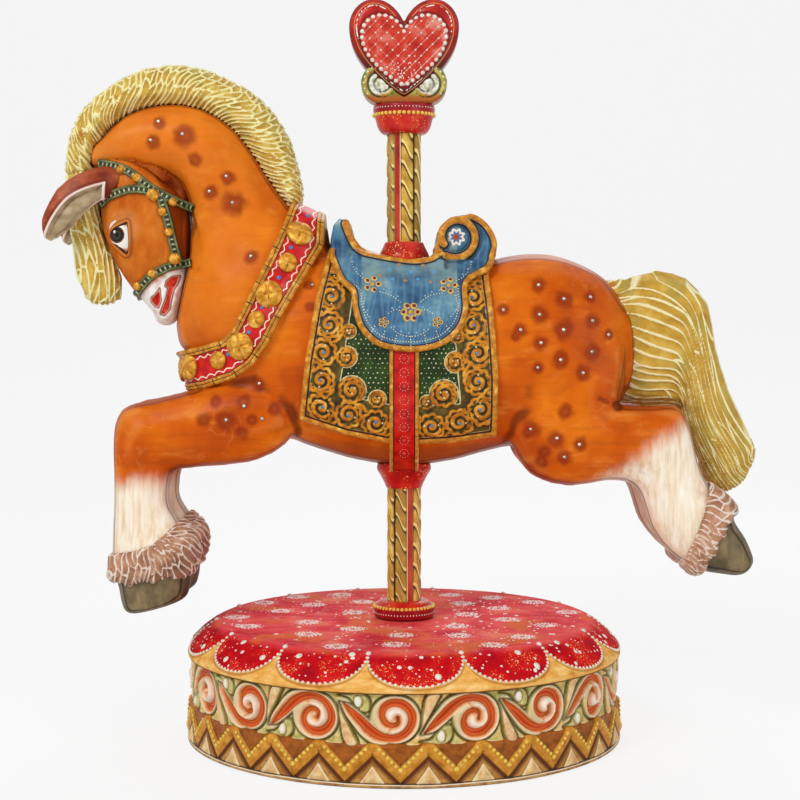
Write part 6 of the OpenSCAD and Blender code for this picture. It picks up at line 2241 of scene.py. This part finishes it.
finished(top_piece(), top_finish(), "base", ("base_top",))
SCALLOP_BEADS, SCALLOP_DOTS = 27, 22
t = np.tile(np.sin(np.linspace(-math.pi / 2, math.pi / 2, SCALLOP_BEADS + 1)[1:]), SCALLOPS)
k = np.repeat(np.arange(SCALLOPS), SCALLOP_BEADS)
places, facings = on_top(SCALLOP_TURN + (k + t / 2) * TURN / SCALLOPS, scallop_edge(t))
dots(
    "scallop_beads", places, facings, 1.35 + 0.9 * (t > 0.999), DOME, WHITE_DOT, "base",
    flat=0.7,
)
t = random.uniform(-0.75, 0.75, SCALLOPS * SCALLOP_DOTS)
k = np.repeat(np.arange(SCALLOPS), SCALLOP_DOTS)
low = scallop_edge(np.abs(t) + 0.1) + 1.0
z = random.uniform(low, np.maximum(low, 47.0))
sizes = random.choice([0.6, 0.8, 1.2, 2.0, 3.0], len(t), p=[0.36, 0.28, 0.2, 0.1, 0.06])
places, facings = on_top(SCALLOP_TURN + (k + t / 2) * TURN / SCALLOPS, z)
dots(
    "scallop_dots", places[z < 47], facings[z < 47], sizes[z < 47], FLAT_DOT, WHITE_DOT,
    "base", flat=0.18,
)
# Flowers of dots and loose dots on the plane
FLOWER_TRIES, FLOWER_GAP, BARE_MIDDLE = 900, 19, 20
flowers = []
for _ in range(FLOWER_TRIES):
    r, a = 71 * math.sqrt(random.uniform(0.04, 1)), random.uniform(0, TURN)
    p = np.array([r * math.cos(a), r * math.sin(a)])
    if all(np.linalg.norm(p - q) > FLOWER_GAP for q in flowers) and r > BARE_MIDDLE:
        flowers.append(p)
petals, sizes = [], []
for p in flowers:
    for count, radius, size in ((8, 1.5, 1.2), (14, 2.8, 1.35), (20, 4.1, 1.3), (22, 5.3, 0.8)):
        a = random.uniform(0, 1) + np.arange(count) * TURN / count
        reach = radius * random.uniform(0.85, 1.12, count)
        petals += np.stack(
            [p[0] + reach * np.cos(a), p[1] + reach * np.sin(a), np.full(count, PLANE_Z)], -1,
        ).tolist()
        sizes += (size * random.uniform(0.7, 1.2, count)).tolist()
UP = np.array([[0, 0, 1.0]])
dots(
    "top_petals", petals, UP.repeat(len(petals), 0), sizes, FLAT_DOT, dot_finish("petal_pink", "#fbeeea"),
    "base", flat=0.14,
)
centres = [[*p, PLANE_Z] for p in flowers]
dots(
    "top_flower_eyes", centres, UP.repeat(len(centres), 0), 2.2, FLAT_DOT,
    dot_finish("petal_orange", "#d8622a"), "base", flat=0.2,
)
LOOSE_DOTS = 380
r, a = 75.5 * np.sqrt(random.uniform(0.04, 1, LOOSE_DOTS)), random.uniform(0, TURN, LOOSE_DOTS)
loose = np.stack([r * np.cos(a), r * np.sin(a), np.full(LOOSE_DOTS, PLANE_Z)], -1)
sizes = random.choice([0.6, 0.9, 1.4, 2.1], LOOSE_DOTS, p=[0.35, 0.3, 0.22, 0.13])
dots(
    "top_dots", loose, UP.repeat(LOOSE_DOTS, 0), sizes, FLAT_DOT, WHITE_DOT, "base",
    flat=0.2,
)


# ---- Hidden and small metal pieces: their shapes are the frame's ----

def metal(name, dark, light, roughness, size=2.0, metallic=1.0, stretch=PLAIN):
    """A bare metal, worn unevenly."""
    f = Finish(name, roughness, metallic=metallic)
    tone = f.noise(size, 4.0, 0.6, stretch)
    colour = f.ramp(tone, (0.3, dark), (0.65, light))
    worn = f.ramp(f.noise(size * 5), (0.35, roughness * 0.8), (0.65, min(roughness * 1.4, 1)))
    return f.done(colour, tone, 0.03, 0.4, worn)


def plain_wood(name, dark, mid, light):
    """Wood with fine grain and wide rings."""
    f = Finish(name, 0.6)
    grain = f.noise(3.0, 4.0, 0.65, (0.06, 1, 1))
    rings = f.noise(14, 2.0, 0.5, (0.12, 1, 1))
    colour = f.ramp(
        f.math("ADD", f.both(grain, 0.6), f.both(rings, 0.4)), (0.35, dark), (0.5, mid), (0.65, light),
    )
    return f.done(colour, grain, 0.12, 0.6)


def felt():
    """Green felt under the base."""
    f = Finish("green_felt", 0.95, specular=0.1)
    fibre = f.noise(0.7, 4.0, 0.7)
    colour = f.tones(fibre, "#16301c", "#24492c", "#3a6541")
    return f.done(colour, fibre, 0.4, 0.9)


SHAPED = {
    "felt_ring": felt(),
    "bottom_board": plain_wood("board_wood", "#a67c4c", "#c99f6c", "#e2c193"),
    "brass": metal("brass", "#8d6a26", "#d2ab52", 0.28),
    "steel": metal("polished_steel", "#8f9296", "#cfd2d4", 0.22, 1.5),
    "cast": metal("cast_metal", "#6f7072", "#a5a6a5", 0.45, 1.2),
    "spring": metal("blue_steel", "#2a3550", "#55698c", 0.25),
}
METALS = {
    "brass": (
        "comb_screws", "great_wheel", "spring_barrel", "thrust_washer", "winding_key", "music_cylinder",
        "cylinder_wheel", "second_arbor", "governor_fan", "spindle_bush", "board_screws",
    ),
    "steel": (
        "centre_rod", "music_comb", "cylinder_arbor", "governor_arbor", "governor_worm", "winding_arbor",
        "movement_screws",
    ),
    "cast": (
        "movement_bedplate", "comb_block", "inner_bracket", "outer_bracket", "second_cock",
        "governor_frame",
    ),
    "spring": ("mainspring",),
}
for key, names in METALS.items():
    for name in names:
        SHAPED[name] = SHAPED[key]
for name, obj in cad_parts.items():
    if name in SHAPED:
        obj.data.materials.clear()
        obj.data.materials.append(SHAPED[name])
